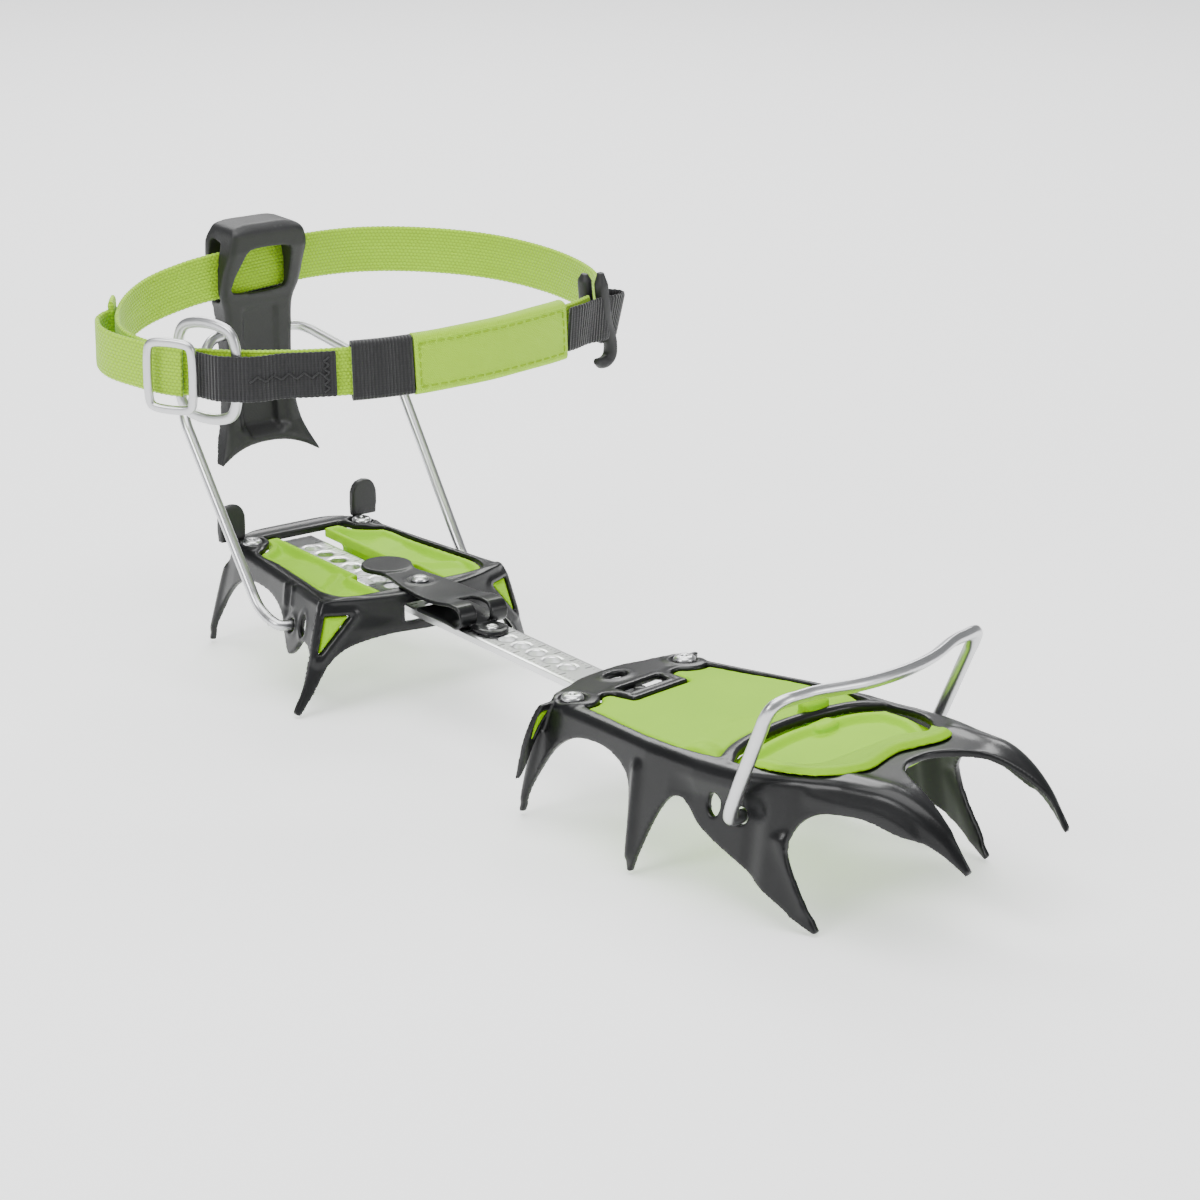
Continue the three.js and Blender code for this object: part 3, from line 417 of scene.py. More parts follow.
def circle(cx, cy, rx, ry=None, n=28):
    a = np.arange(n) / n * 2 * np.pi
    return np.stack([cx + rx * np.cos(a), cy + (ry or rx) * np.sin(a)], 1)


def flip_y(pts):
    return np.asarray(pts) * (1, -1)


def run_length(pts):
    """Distance along a polyline at each of its points."""
    return np.concatenate([[0], np.cumsum(np.linalg.norm(np.diff(pts, axis=0), axis=1))])


def inside(P, loop):
    hit = np.zeros(len(P), bool)
    for a, b in zip(loop, np.roll(loop, 1, 0)):
        cond = (a[1] > P[:, 1]) != (b[1] > P[:, 1])
        with np.errstate(divide="ignore", invalid="ignore"):
            xx = (b[0] - a[0]) * (P[:, 1] - a[1]) / (b[1] - a[1]) + a[0]
        hit ^= cond & (P[:, 0] < xx)
    return hit


def rim_distance(P, loop):
    best = np.full(len(P), 1e9)
    for a, b in zip(loop, np.roll(loop, -1, 0)):
        d = b - a
        t = np.clip(((P - a) @ d) / max(d @ d, 1e-12), 0, 1)
        best = np.minimum(best, np.linalg.norm(P - a - t[:, None] * d, axis=1))
    return best


def sheet(contour, holes, top, bottom, step=1.0):
    """Closed solid between two surfaces given over a flat outline with holes."""
    loops = [np.asarray(l) for l in (contour, *holes)]
    pts, edges = [], []
    for loop in loops:
        base, n = len(pts), len(loop)
        pts += [tuple(p) for p in loop]
        edges += [(base + i, base + (i + 1) % n) for i in range(n)]
    lo, hi = loops[0].min(0), loops[0].max(0)
    gx, gy = np.meshgrid(np.arange(lo[0] + step / 2, hi[0], step),
                         np.arange(lo[1] + step / 2, hi[1], step * 0.87))
    gx = gx + (np.arange(gx.shape[0]) % 2)[:, None] * step / 2
    G = np.stack([gx.ravel(), gy.ravel()], 1)
    ok = inside(G, loops[0])
    for h in loops[1:]:
        ok &= ~inside(G, h)
    G = G[ok]
    near = np.min([rim_distance(G, l) for l in loops], axis=0)
    pts += [tuple(p) for p in G[near > 0.45 * step]]
    v, _, f, *_ = delaunay_2d_cdt([Vector(p) for p in pts], edges, [], 0, 1e-5, False)
    v = np.array([tuple(p) for p in v])
    f = np.array([list(t) for t in f if len(t) == 3])
    c = v[f].mean(1)
    keep = inside(c, loops[0])
    for h in loops[1:]:
        keep &= ~inside(c, h)
    f = f[keep]
    n = len(v)
    verts = np.concatenate([top(v), bottom(v)])
    faces = [tuple(t) for t in f] + [(t[0] + n, t[2] + n, t[1] + n) for t in f]
    directed = {(int(t[k]), int(t[(k + 1) % 3])) for t in f for k in range(3)}
    faces += [(b, a, a + n, b + n) for a, b in directed if (b, a) not in directed]
    return verts, faces


def block(x0, x1, y0, y1, z0, z1):
    v = [(x, y, z) for z in (z0, z1) for y in (y0, y1) for x in (x0, x1)]
    return V3(v), [(0, 2, 3, 1), (4, 5, 7, 6), (0, 1, 5, 4), (2, 6, 7, 3), (0, 4, 6, 2), (1, 3, 7, 5)]


def turned(profile, at, n=40):
    """Solid of revolution about +Z; profile is (radius, height) from the top centre down."""
    verts, faces = [], []
    for r, z in profile:
        for k in range(n):
            a = 2 * math.pi * k / n
            verts.append((r * math.cos(a), r * math.sin(a), z))
    for i in range(len(profile) - 1):
        for k in range(n):
            a, b = i * n + k, i * n + (k + 1) % n
            faces.append((a, a + n, b + n, b))
    faces.append(tuple(range(n)))
    faces.append(tuple(reversed(range((len(profile) - 1) * n, len(profile) * n))))
    return V3(verts) + V3(at), faces


def rounded(points, q):
    v = [V3(p) for p in points]
    out = [v[0]]
    for i in range(1, len(v) - 1):
        a, b = v[i - 1] - v[i], v[i + 1] - v[i]
        la, lb = min(q, np.linalg.norm(a) * 0.45), min(q, np.linalg.norm(b) * 0.45)
        a, b = a / np.linalg.norm(a), b / np.linalg.norm(b)
        p, s = v[i] + a * la, v[i] + b * lb
        out += [p + a * la * 0.6, p, (p + s) * 0.25 + v[i] * 0.5, s, s + b * lb * 0.6]
    return out + [v[-1]]


def closed_curve(points, count):
    """Catmull-Rom through a closed ring of points."""
    k = len(points)
    big = [points[(i - 3) % k] for i in range(k + 6)]
    t = (3 + np.arange(count) / count * k) / (len(big) - 1)
    return catmull(big, t)


def tube_faces(n, m, closed=False):
    """Quads between n rings of m points, each ring joined to the next."""
    faces = []
    for i in range(n if closed else n - 1):
        a, b = i * m, (i + 1) % n * m
        for k in range(m):
            after = (k + 1) % m
            faces.append((a + k, a + after, b + after, b + k))
    return faces


def sweep(path, shape):
    """Carry shape(t) -> list of (side, rise) offsets along a path, with capped ends."""
    path = np.asarray(path)
    n = len(path)
    nxt, prv = np.roll(path, -1, 0), np.roll(path, 1, 0)
    nxt[-1], prv[0] = path[-1], path[0]
    tan = nxt - prv
    tan /= np.linalg.norm(tan, axis=1)[:, None]
    side = np.cross(tan[0], (0, 0, 1.0))
    if np.linalg.norm(side) < 0.2:
        side = np.cross(tan[0], (1.0, 0, 0))
    side /= np.linalg.norm(side)
    verts = []
    for i in range(n):
        side = side - tan[i] * (side @ tan[i])
        side /= np.linalg.norm(side)
        rise = np.cross(side, tan[i])
        verts += [path[i] + side * a + rise * b for a, b in shape(i / (n - 1))]
    m = len(verts) // n
    faces = tube_faces(n, m)
    faces.append(tuple(reversed(range(m))))
    faces.append(tuple(range((n - 1) * m, n * m)))
    return V3(verts), faces


def superellipse(a, b, e=2.0, n=20):
    t = np.arange(n) / n * 2 * np.pi
    c, s = np.cos(t), np.sin(t)
    return list(zip(a * np.sign(c) * abs(c) ** (2 / e), b * np.sign(s) * abs(s) ** (2 / e)))


def mesh_from(parts, toe=False, name="mesh"):
    verts, faces = [], []
    for v, f in parts:
        base = len(verts)
        verts += [tuple(p) for p in to_row(v, toe)]
        faces += [tuple(int(i) + base for i in t) for t in f]
    me = bpy.data.meshes.new(name)
    me.from_pydata(verts, [], faces)
    bm = bmesh.new()
    bm.from_mesh(me)
    bmesh.ops.recalc_face_normals(bm, faces=bm.faces)
    bm.to_mesh(me)
    bm.free()
    return me


def piece(name, parts, mat, nodes, toe=False, voxel=None, smooth=6, angle=None):
    """A finished piece built from solids, optionally fused and rounded, that replaces its CAD nodes."""
    obj = in_scene(bpy.data.objects.new(name, mesh_from(parts, toe, name)))
    if voxel:
        voxel_round(obj, voxel, smooth)
    dress(obj, mat, nodes[0], angle)
    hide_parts(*nodes)
    return obj


def flat(z):
    """Surface of a sheet at one height."""
    return lambda P: xyz(P, z)


# ---------------------------------------------------------------- bent frame sheets
STEEL_T, BEND_R, BEND = 2.2, 3.2, math.radians(80)


def fold(b, after):
    arc = BEND_R * BEND

    def run(P, t):
        x, s = P[:, 0], P[:, 1]
        a = np.abs(s)
        b0 = np.interp(x, b[0], b[1]) - BEND_R
        ang = np.clip((a - b0) / BEND_R, 0, BEND)
        rest = np.maximum(0, a - b0 - arc)
        bent = a > b0
        y = np.where(bent, b0 + (BEND_R + t) * np.sin(ang) + math.cos(BEND) * rest, a)
        z = np.where(bent, -BEND_R + (BEND_R + t) * np.cos(ang) - math.sin(BEND) * rest, t)
        return after(x, np.where(s < 0, -y, y), z)
    return run


def down(b, x, z):
    free = BEND_R * (1 - math.cos(BEND))
    bx = float(np.interp(x, b[0], b[1]))
    if z > -free:
        return bx - BEND_R + BEND_R * math.acos(1 + z / BEND_R)
    return bx - BEND_R + BEND_R * BEND + (-z - free) / math.sin(BEND)


def depth(b, P):
    """How far past the bend a flat point lies: 0 on the plate, growing down the flange."""
    return np.abs(P[:, 1]) - (np.interp(P[:, 0], b[0], b[1]) - BEND_R)


def ring_rise(P, x, y, r, w, h):
    return h * bumpy(np.hypot(P[:, 0] - x, np.abs(P[:, 1]) - abs(y)), r, w)


def line_rise(P, a, b, w, h):
    """Raised rib along the flat segment a-b, on both sides of the plate."""
    Q = np.stack([P[:, 0], np.abs(P[:, 1])], 1)
    a, b = V3(a), V3(b)
    d = b - a
    t = np.clip(((Q - a) @ d) / (d @ d), 0, 1)
    dist = np.linalg.norm(Q - a - t[:, None] * d, axis=1)
    end = smoothstep(0, 0.12, t) * (1 - smoothstep(0.9, 1, t))
    return h * np.exp(-(dist / w) ** 2) * end


def loop_rise(P, loop, at, w, h):
    return h * bumpy(rim_distance(P, np.asarray(loop)), at, w)


# ---- toe section
TB = ([-14, 0, 20, 42, 62, 80, 94, 108, 120, 134, 146],
      [27.5, 30, 33.2, 37.2, 38.8, 38.2, 35.2, 31, 29, 26, 22.6])


def toe_z(x):
    return 2.4 * smoothstep(70, 108, x) - 0.0205 * np.maximum(0, np.asarray(x) - 118) ** 2


def toe_after(x, y, z):
    drop = np.maximum(0, -z - 5)
    inset = 2.2 * smoothstep(52, 62, x) * (1 - smoothstep(82, 90, x)) * np.clip(drop / 5, 0, 1)
    return np.stack([x, y - np.sign(y) * inset, z + toe_z(x)], 1)


def tf(x, z, corner=0):
    return (x, down(TB, x, z - float(toe_z(x))), corner)


toe_half = [
    (-12.5, 0), (-12, 9), (-9.5, 17), (-7.5, 24), (-5, 28.0), tf(-8.5, -6), tf(-11.6, -15), tf(-13.4, -26),
    tf(-14.2, -36, 1), tf(-12.6, -35.6, 1), tf(-10.3, -28), tf(-6, -20.5), tf(0, -13), tf(8, -8.2),
    tf(20, -6.6), tf(29, -8.2), tf(34.5, -12), tf(37.2, -20), tf(38.2, -33), tf(39.2, -38, 1),
    tf(40.6, -37.6, 1), tf(45, -26), tf(50, -16.5), tf(53.8, -12.6), tf(57, -12.2), tf(60, -14.8),
    tf(63.6, -18.4), tf(82, -27), tf(97, -35.4, 1), tf(98.2, -36.6, 1), tf(105.6, -40.2, 1),
    tf(106.4, -39.2, 1), tf(102.6, -33), tf(98.4, -26), tf(95.6, -19.5), tf(95.6, -14.6), tf(98.4, -10),
    tf(104, -7), tf(114, -6.2), tf(126, -8.6), tf(136, -10.5), tf(145.6, -17.2, 1), (146.4, 22.2, 1),
    (140, 20.6), (131, 18.2), (121, 14.8), (114.4, 10.2), (111, 5), (110.4, 0),
]
rear_window = mirrored([
    (13.2, 0, 1), (13.2, 11.6, 1), (6.2, 12.2, 1), (4.4, 13.4), (4, 16.4), (6.6, 19.2), (8, 23),
    (7.4, 26.4, 1), (20, 28.8), (38, 32.2), (54, 33.4), (66, 32.4, 1), (62, 24), (59.4, 12), (58.6, 0)])
toe_window = mirrored([
    (62.4, 0), (63.4, 12), (66.4, 24), (71.6, 32.6, 1), (84, 31.4), (94, 26.6), (100, 18), (102, 8),
    (102.4, 0)])
rear_loop, toe_loop = outline(rear_window), outline(toe_window)
bail_hole = circle(78.4, down(TB, 78.4, -12.8), 2.5)
spare_hole = circle(68.6, down(TB, 68.6, -11.6), 2.2, 3.5)
tongue_loop = outline([(3.2, -9.2, 1), (3.2, 9.2, 1), (8.6, 7.6, 1), (8.6, -9.2, 1)])
slot_loop = circle(-5.6, 0, 2.4, 4.2)
toe_map = fold(TB, toe_after)


def toe_emboss(P):
    f = lambda x, z: (x, down(TB, x, z))
    plate = 1 - smoothstep(-2, 1, depth(TB, P))
    e = ring_rise(P, 0, 24, 5.2, 1.1, 0.7)
    e -= 0.5 * (1 - smoothstep(3.4, 4.6, np.hypot(P[:, 0], np.abs(P[:, 1]) - 24)))
    e += loop_rise(P, rear_loop, 1.1, 1.0, 0.4) * plate
    e += loop_rise(P, toe_loop, 1.1, 1.0, 0.45) * plate * (1 - smoothstep(86, 92, P[:, 0]))
    corner = smoothstep(64, 74, P[:, 0]) * smoothstep(24, 30, np.abs(P[:, 1]))
    e += loop_rise(P, toe_loop, 2.0, 2.0, 0.9) * plate * (1 - corner) * (1 - smoothstep(84, 90, P[:, 0]))
    e += loop_rise(P, tongue_loop, 0.9, 0.8, 0.5) + loop_rise(P, slot_loop, 1.0, 0.8, 0.45)
    e += line_rise(P, f(38.6, -5), f(39.4, -36), 1.9, 1.25)
    e += line_rise(P, f(92, -15), f(104.8, -38.5), 2.6, 0.9)
    e += line_rise(P, f(-8, -6), f(-13.2, -34), 1.6, 0.8)
    e += line_rise(P, (98, 25), (143, 21.5), 2.6, 0.7)
    e += line_rise(P, f(97, -4.5), f(134, -7), 2.2, 0.45)
    return e


toe_parts = [sheet(outline(mirrored(toe_half)), [
    rear_loop, toe_loop, tongue_loop, slot_loop, bail_hole, flip_y(bail_hole), spare_hole, flip_y(spare_hole)],
    lambda P: toe_map(P, toe_emboss(P)), lambda P: toe_map(P, toe_emboss(P) - STEEL_T))]


def claw(P, t, sd):
    y, z = P[:, 0], P[:, 1]
    return np.stack([-4.2 - 8.6 * np.clip(-z / 30, 0, 1) ** 0.75 + t, sd * y, z], 1)


web = outline([(27, -0.4, 1), (33.5, -0.4, 1), (36.6, -12), (37.4, -24, 1), (35.6, -22), (32.4, -12),
               (28.4, -5)])
lens = outline([(29.6, -2.4, 1), (33.2, -3.2), (34.9, -14.5, 1), (32.6, -8)], 0.8)
lens_in = outline([(30.0, -2.8, 1), (33.0, -3.5), (34.6, -13.6, 1), (32.7, -7.9)], 0.8)
for sd in (-1, 1):
    toe_parts.append(sheet(web, [lens], lambda P: claw(P, -0.5 * bumpy(rim_distance(P, lens), 0.7, 0.6), sd),
                           lambda P: claw(P, 1.8, sd)))
piece("toe_frame_steel", toe_parts, STEEL, ["toe_frame"], True, VOX, 6)
for sd, tag in ((-1, "near"), (1, "far")):
    piece(f"toe_claw_insert_{tag}_skin", [sheet(lens_in, [], lambda P: claw(
        P, 0.1 - 0.9 * smoothstep(0, 1.6, rim_distance(P, lens_in)), sd), lambda P: claw(P, 1.5, sd), 0.6)],
        LIME, [f"toe_claw_insert_{tag}"], True, 0.25, 3)


def inset(loop, d):
    """Shrink a loop evenly by d."""
    loop = np.asarray(loop)
    e = np.roll(loop, -1, 0) - loop
    area = 0.5 * np.sum(loop[:, 0] * np.roll(loop[:, 1], -1) - np.roll(loop[:, 0], -1) * loop[:, 1])
    e /= np.linalg.norm(e, axis=1)[:, None]
    n = np.stack([-e[:, 1], e[:, 0]], 1) * (1 if area > 0 else -1)
    m = n + np.roll(n, 1, 0)
    m /= np.maximum(np.linalg.norm(m, axis=1), 0.5)[:, None]
    return loop + m * d


def xyz(P, z):
    return np.stack([P[:, 0], P[:, 1], np.broadcast_to(z, len(P))], 1)


# Rear pad: nearly flush field with a soft step along the crossbar, a knob on it and a skirt under the steel.
rear_field = inset(rear_loop, 0.55)


def rear_top(P):
    d = rim_distance(P, rear_field)
    z = -0.15 - 0.7 * (1 - smoothstep(0, 1.2, d))
    z = z + 0.35 * bumpy(P[:, 0], 52 + 2.5 * np.sin(P[:, 1] / 5.5), 2.2) * smoothstep(0, 4, d)
    z = z + 0.12 * np.sin(P[:, 0] / 9) * np.cos(P[:, 1] / 11)
    q = np.hypot(P[:, 0] - 57, np.abs(P[:, 1]) - 29.5)
    z = z + 0.9 * bumpy(q, 0, 3.2) - 0.5 * bumpy(q, 6, 1.8)
    return xyz(P, z)


def domed(loop, peak, soft, drop):
    return lambda P: xyz(P, peak - drop * (1 - smoothstep(0, soft, rim_distance(P, loop))) ** 2)


cap = outline([(57.6, 10.2), (60.8, 9.8), (61.8, 11.2), (62.3, 17.8),
               (61.4, 19.4), (58, 19.2), (56.8, 17.8), (56.6, 11.6)])
rear_skirt = outline(mirrored([
    (16, 0, 1), (16, 23.6, 1), (24, 27.2), (40, 30.2), (56, 31, 1), (60.4, 26), (60.4, 0)]))
piece("toe_pad_rear_skin", [
    sheet(rear_field, [], rear_top, flat(-2.1)),
    sheet(cap, [], domed(cap, 4.6, 2.4, 1.5), flat(-1.3), 0.8),
    sheet(inset(rear_loop, -1.2), [inset(rear_loop, 2.2)], flat(-2.6), flat(-4.2), 0.8),
    sheet(inset(rear_skirt, 0.3), [], flat(-2.7), flat(-4.5), 2.5),
    sheet(inset(rear_skirt, 2.5), [], flat(-0.9), flat(-4), 2.5)],
    LIME, ["toe_pad_rear"], True, VOX, 5)

# Front pad: a basin sunk below the crossbar that rises to a wavy lip over the frame's front edge.
toe_field = inset(toe_loop, 0.75)
lip_out = outline([
    (64.1, 0), (65.2, 12), (68.2, 24), (73.0, 30.6, 1), (84, 29.6), (91.5, 25.4), (96, 22.2), (99, 21.4),
    (103, 21.6), (107, 19.4), (108.6, 15), (108, 9.5), (106.4, 4), (105.2, -1), (105.8, -6), (107.2, -11),
    (108.4, -16.5), (107.4, -22), (104.6, -27), (100, -31), (92, -33.2), (84, -33.6), (78, -33.0), (73, -31),
    (68.2, -24), (65.2, -12)])


def lip_top(P):
    x, y = P[:, 0], P[:, 1]
    d = rim_distance(P, lip_out)
    basin = -0.9 - 2.2 * smoothstep(1.6, 4.4, d)
    ahead = 85 + 6.5 * smoothstep(6, 19, y)
    front = smoothstep(0, 13.5, x - ahead)
    near = smoothstep(17, 29.5, -y) * smoothstep(71, 81, x)
    lift = 1 - (1 - front) * (1 - near)
    crest = toe_z(x) + 1.9 - 1.3 * (1 - smoothstep(0, 2.4, d)) ** 2
    rim = 0.35 * bumpy(d, 3.0, 1.5) * lift
    return xyz(P, basin + (crest - basin) * lift + rim)


def lip_base(P):
    return xyz(P, np.where(inside(P, toe_field), -4.1, toe_z(P[:, 0]) + 0.3))


def lip_solid(P):
    top, low = lip_top(P), lip_base(P)
    top[:, 2] = np.maximum(top[:, 2], low[:, 2] + 0.7)
    return top


toe_core = outline(mirrored([(66, 0, 1), (72, 25, 1), (84, 26), (92, 20.5), (97, 12), (98.6, 0)]))
post = outline([(64.4, 6.2), (68.6, 5.6), (70.0, 7.4), (70.0, 13), (68.6, 15), (64.4, 15.2)])
piece("toe_pad_front_skin", [
    sheet(lip_out, [], lip_solid, lip_base, 0.8),
    sheet(inset(toe_loop, -1.2), [inset(toe_loop, 2.2)], flat(-2.6), flat(-4.1), 0.8),
    sheet(toe_core, [], flat(-2.9), flat(-4.3), 2.5),
    sheet(post, [], domed(post, -0.3, 1.8, 0.9), flat(-4.0), 0.8)],
    LIME, ["toe_pad_front"], True, VOX, 6)

# ---- rivets: low domed heads with a punched centre and a ground rim
HEAD = [(0.05, 0.75), (0.55, 0.72), (0.8, 1.0), (1.2, 1.12), (2.2, 1.05),
        (2.9, 0.78), (3.3, 0.35), (3.42, 0.0), (3.42, -0.5)]
for sd, tag in ((-1, "near"), (1, "far")):
    piece(f"toe_rivet_{tag}_head", [turned(HEAD, (0, sd * 24, 0.55))], RIVET,
          [f"toe_rivet_{tag}"], True, angle=50)
    piece(f"heel_rivet_{tag}_head", [turned([(r * 0.96, z) for r, z in HEAD], (0.4, sd * 21.6, 0.6))],
          RIVET, [f"heel_rivet_{tag}"], angle=50)
piece("clip_rivet_head", [turned([(0.05, 1.0), (0.9, 0.98), (1.7, 0.82), (2.4, 0.5), (2.85, 0.05), (2.9, -0.5)],
                                 (69, -0.4, 2.3))], RIVET, ["clip_rivet"], angle=60)
piece("clip_pin_head", [turned([(0.05, 0.35), (0.8, 0.35), (1.2, 0.55), (1.7, 0.5), (2.1, 0.15), (2.1, -0.45)],
                               (109.6, -0.5, -2.85))], RIVET, ["clip_pin"], angle=50)

# ---- heel section
HB = ([-14, 0, 25, 57, 66], [25, 27.6, 30.4, 34.6, 36])


def heel_after(x, y, z):
    rib = 0.8 * np.exp(-(((x - 41.5) / 2.2) ** 2)) * smoothstep(-14, -9, z) * (1 - smoothstep(-3, 0, z))
    return np.stack([x, y - np.sign(y) * rib, z], 1)


def hf(x, z, corner=0):
    return (x, down(HB, x, z), corner)


def front_x(y):
    return 75.2 - 0.0078 * y * y


heel_half = [
    (-12.5, 0), (-12.2, 12), (-9.6, 19), (-6.8, 24.2, 1), hf(-5, -3.5), hf(-8.6, -10), hf(-11.8, -18),
    hf(-13.6, -28), hf(-14.4, -36, 1), hf(-12.8, -35.6, 1), hf(-9.6, -26.5), hf(-3.8, -17.5), hf(4, -11),
    hf(14, -8), hf(28, -8), hf(37, -11.5), hf(41.6, -18), hf(46, -22.6), hf(50.4, -20), hf(53.6, -16.4),
    hf(58, -16), hf(61.2, -18.6), hf(63.2, -25), hf(65.4, -32, 1), hf(62.8, -17), hf(62.6, -5, 1),
    (front_x(32), 32, 1), (front_x(24), 24), (front_x(12), 12), (front_x(0), 0),
]
heel_window = mirrored([
    (-3.4, 0, 1), (-3.4, 15, 1), (3.2, 16.6), (8, 21.6), (10, 24.6), (26, 26), (44, 28.2), (58, 29.4),
    (65.4, 26.4), (67, 18), (67, 10, 1), (67.6, 0)])
heel_loop = outline(heel_window)
wire_hole = circle(45.8, down(HB, 45.8, -13.2), 2.3)
heel_slot = circle(54, down(HB, 54, -11), 1.8, 3.8)
heel_map = fold(HB, heel_after)


def heel_emboss(P):
    f = lambda x, z: (x, down(HB, x, z))
    plate = 1 - smoothstep(-2, 1, depth(HB, P))
    e = ring_rise(P, 0.4, 21.6, 5.0, 1.1, 0.7)
    e -= 0.45 * (1 - smoothstep(3.3, 4.5, np.hypot(P[:, 0] - 0.4, np.abs(P[:, 1]) - 21.6)))
    e += loop_rise(P, heel_loop, 1.3, 1.1, 0.5) * plate
    e += 0.45 * bumpy(P[:, 0], front_x(P[:, 1]) - 1.6, 1.4) * plate
    e += 0.4 * bumpy(P[:, 0], -10.5, 1.4) * plate
    e += line_rise(P, f(38.6, -0.8), f(39.6, -9), 1.2, 0.8) + line_rise(P, f(43.2, -0.8), f(43.8, -8), 1.2, 0.8)
    e += line_rise(P, f(-7, -6), f(-13.2, -34), 1.7, 0.9)
    e += line_rise(P, f(63.0, -8), f(64.6, -29), 1.3, 0.5)
    e += loop_rise(P, wire_hole, 1.1, 0.8, 0.35) + loop_rise(P, heel_slot, 1.0, 0.7, 0.3)
    e += loop_rise(P, flip_y(wire_hole), 1.1, 0.8, 0.35) + loop_rise(P, flip_y(heel_slot), 1.0, 0.7, 0.3)
    return e


face_half = [
    (0, 0), (12, 0), (24, 0), (34.6, 0, 1), (36.6, -4), (39, -12), (42.6, -26), (46.6, -35.2, 1),
    (45.4, -36, 1), (40.4, -28), (35, -19.4), (29.6, -15.4), (22, -13.2), (14, -12.2), (0, -12.4)]
face_loop = outline(face_half + [(-p[0], *p[1:]) for p in reversed(face_half[1:-1])])
face_win = outline([(27, -4.6, 1), (35, -4.6, 1), (38.6, -17.8, 1)])
bar_slot = outline([(-9.8, -9.0, 1), (8.8, -9.0, 1), (8.8, -2.9, 1), (-9.8, -2.9, 1)])


def face(P, t):
    y, z = P[:, 0], P[:, 1]
    lean = 0.2 * np.maximum(0, -z - 3) * smoothstep(10, 40, np.abs(y)) + 0.05 * np.maximum(0, -z)
    return np.stack([front_x(y) - 0.9 * np.maximum(0, 1.5 + z) + lean + t, y, z - 0.15], 1)


def face_emboss(P):
    Q = np.stack([np.abs(P[:, 0]), P[:, 1]], 1)
    rim = 0.9 * bumpy(rim_distance(Q, face_win), 1.0, 1.0)
    return rim + 0.5 * bumpy(Q[:, 1], -9.5, 2.5) * bumpy(Q[:, 0], 18, 8)


piece("heel_frame_steel", [
    sheet(outline(mirrored(heel_half)), [heel_loop, wire_hole, flip_y(wire_hole), heel_slot, flip_y(heel_slot)],
          lambda P: heel_map(P, heel_emboss(P)), lambda P: heel_map(P, heel_emboss(P) - STEEL_T)),
    sheet(face_loop, [face_win, face_win * (-1, 1), bar_slot],
          lambda P: face(P, face_emboss(P)), lambda P: face(P, face_emboss(P) - 2.4))],
    STEEL, ["heel_frame"], False, VOX, 6)
win_in = outline([(27.7, -5.0, 1), (34.7, -5.0, 1), (37.9, -16.8, 1)], 0.8)
for sd, tag in ((-1, "near"), (1, "far")):
    loop = win_in * (sd, 1)
    piece(f"heel_corner_insert_{tag}_skin", [sheet(
        loop, [], lambda P: face(P, 0.1 - 0.7 * (1 - smoothstep(0, 1.3, rim_distance(P, loop)))),
        lambda P: face(P, -2.3), 0.6)], LIME, [f"heel_corner_insert_{tag}"], False, 0.3, 3)

# Heel pad: two moulded halves, sunk below a rim, on either side of the bar.
heel_field = inset(heel_loop, 0.6)
cut_far, cut_near = 8.6, -9.6


def half_loop(sd):
    """Outline of one half of the heel pad: the rim on that side, closed along the bar."""
    y0 = cut_far if sd > 0 else cut_near
    keep = [p for p in heel_field if (p[1] - y0) * sd > 0]
    rim = sorted(keep, key=lambda p: math.atan2(p[1] - (y0 + sd * 8), p[0] - 30))
    k = max(range(len(rim)), key=lambda i: math.dist(rim[i], rim[(i + 1) % len(rim)]))
    rim = rim[k + 1:] + rim[:k + 1]
    a, b = rim[-1], rim[0]
    hi, lo = (a, b) if a[0] > b[0] else (b, a)
    line = [(lo[0] + 0.2, y0), (46.5, y0), (47.5, y0 + sd * 3.2), (hi[0] - 0.2, y0 + sd * 3.2)]
    if a[0] > b[0]:
        line = line[::-1]
    dense = []
    for p, q in zip(line, line[1:]):
        n = max(1, round(math.dist(p, q) / 1.2))
        dense += [(p[0] + (q[0] - p[0]) * i / n, p[1] + (q[1] - p[1]) * i / n) for i in range(n)]
    return np.array([tuple(p) for p in rim] + dense + [line[-1]])


def facet_top(loop, sd):
    def top(P):
        x, y = P[:, 0], P[:, 1] * sd
        d = rim_distance(P, loop)
        rim = -0.75 + 0.1 * smoothstep(0, 1, d)
        wall = -0.75 - 2.6 * smoothstep(1.3, 3.9, d)
        step = smoothstep(22, 26, x + 0.6 * y) * (1 - smoothstep(34, 38, x + 0.5 * y))
        floor = -3.0 + 0.35 * np.sin((x + y * 1.4) / 6.5) + 0.5 * step
        z = np.maximum(wall, floor)
        ridge = 1.6 * np.maximum(0, 1 - np.abs((x - 0.9 * (y - 12)) - 40) / 5.0)
        z = np.minimum(np.maximum(z, floor + ridge * smoothstep(1, 4, d)), rim)
        return xyz(P, z)
    return top


pad_parts = []
for sd in (-1, 1):
    hl = half_loop(sd)
    pad_parts.append(sheet(hl, [], facet_top(hl, sd), flat(-4.1), 0.8))
# Bridge under the bar.
pad_parts += [block(8, 30, -13.5, 12.5, -9.8, -7.6), block(8, 30, -13.5, -9.9, -9, -3.4),
              block(8, 30, 8.9, 12.5, -9, -3.4)]
piece("heel_pad_skin", pad_parts, LIME, ["heel_pad"], False, VOX, 4)

for n in ("heel_stop_near", "heel_stop_far"):
    soften(n, PLASTIC, 0.35, 8)

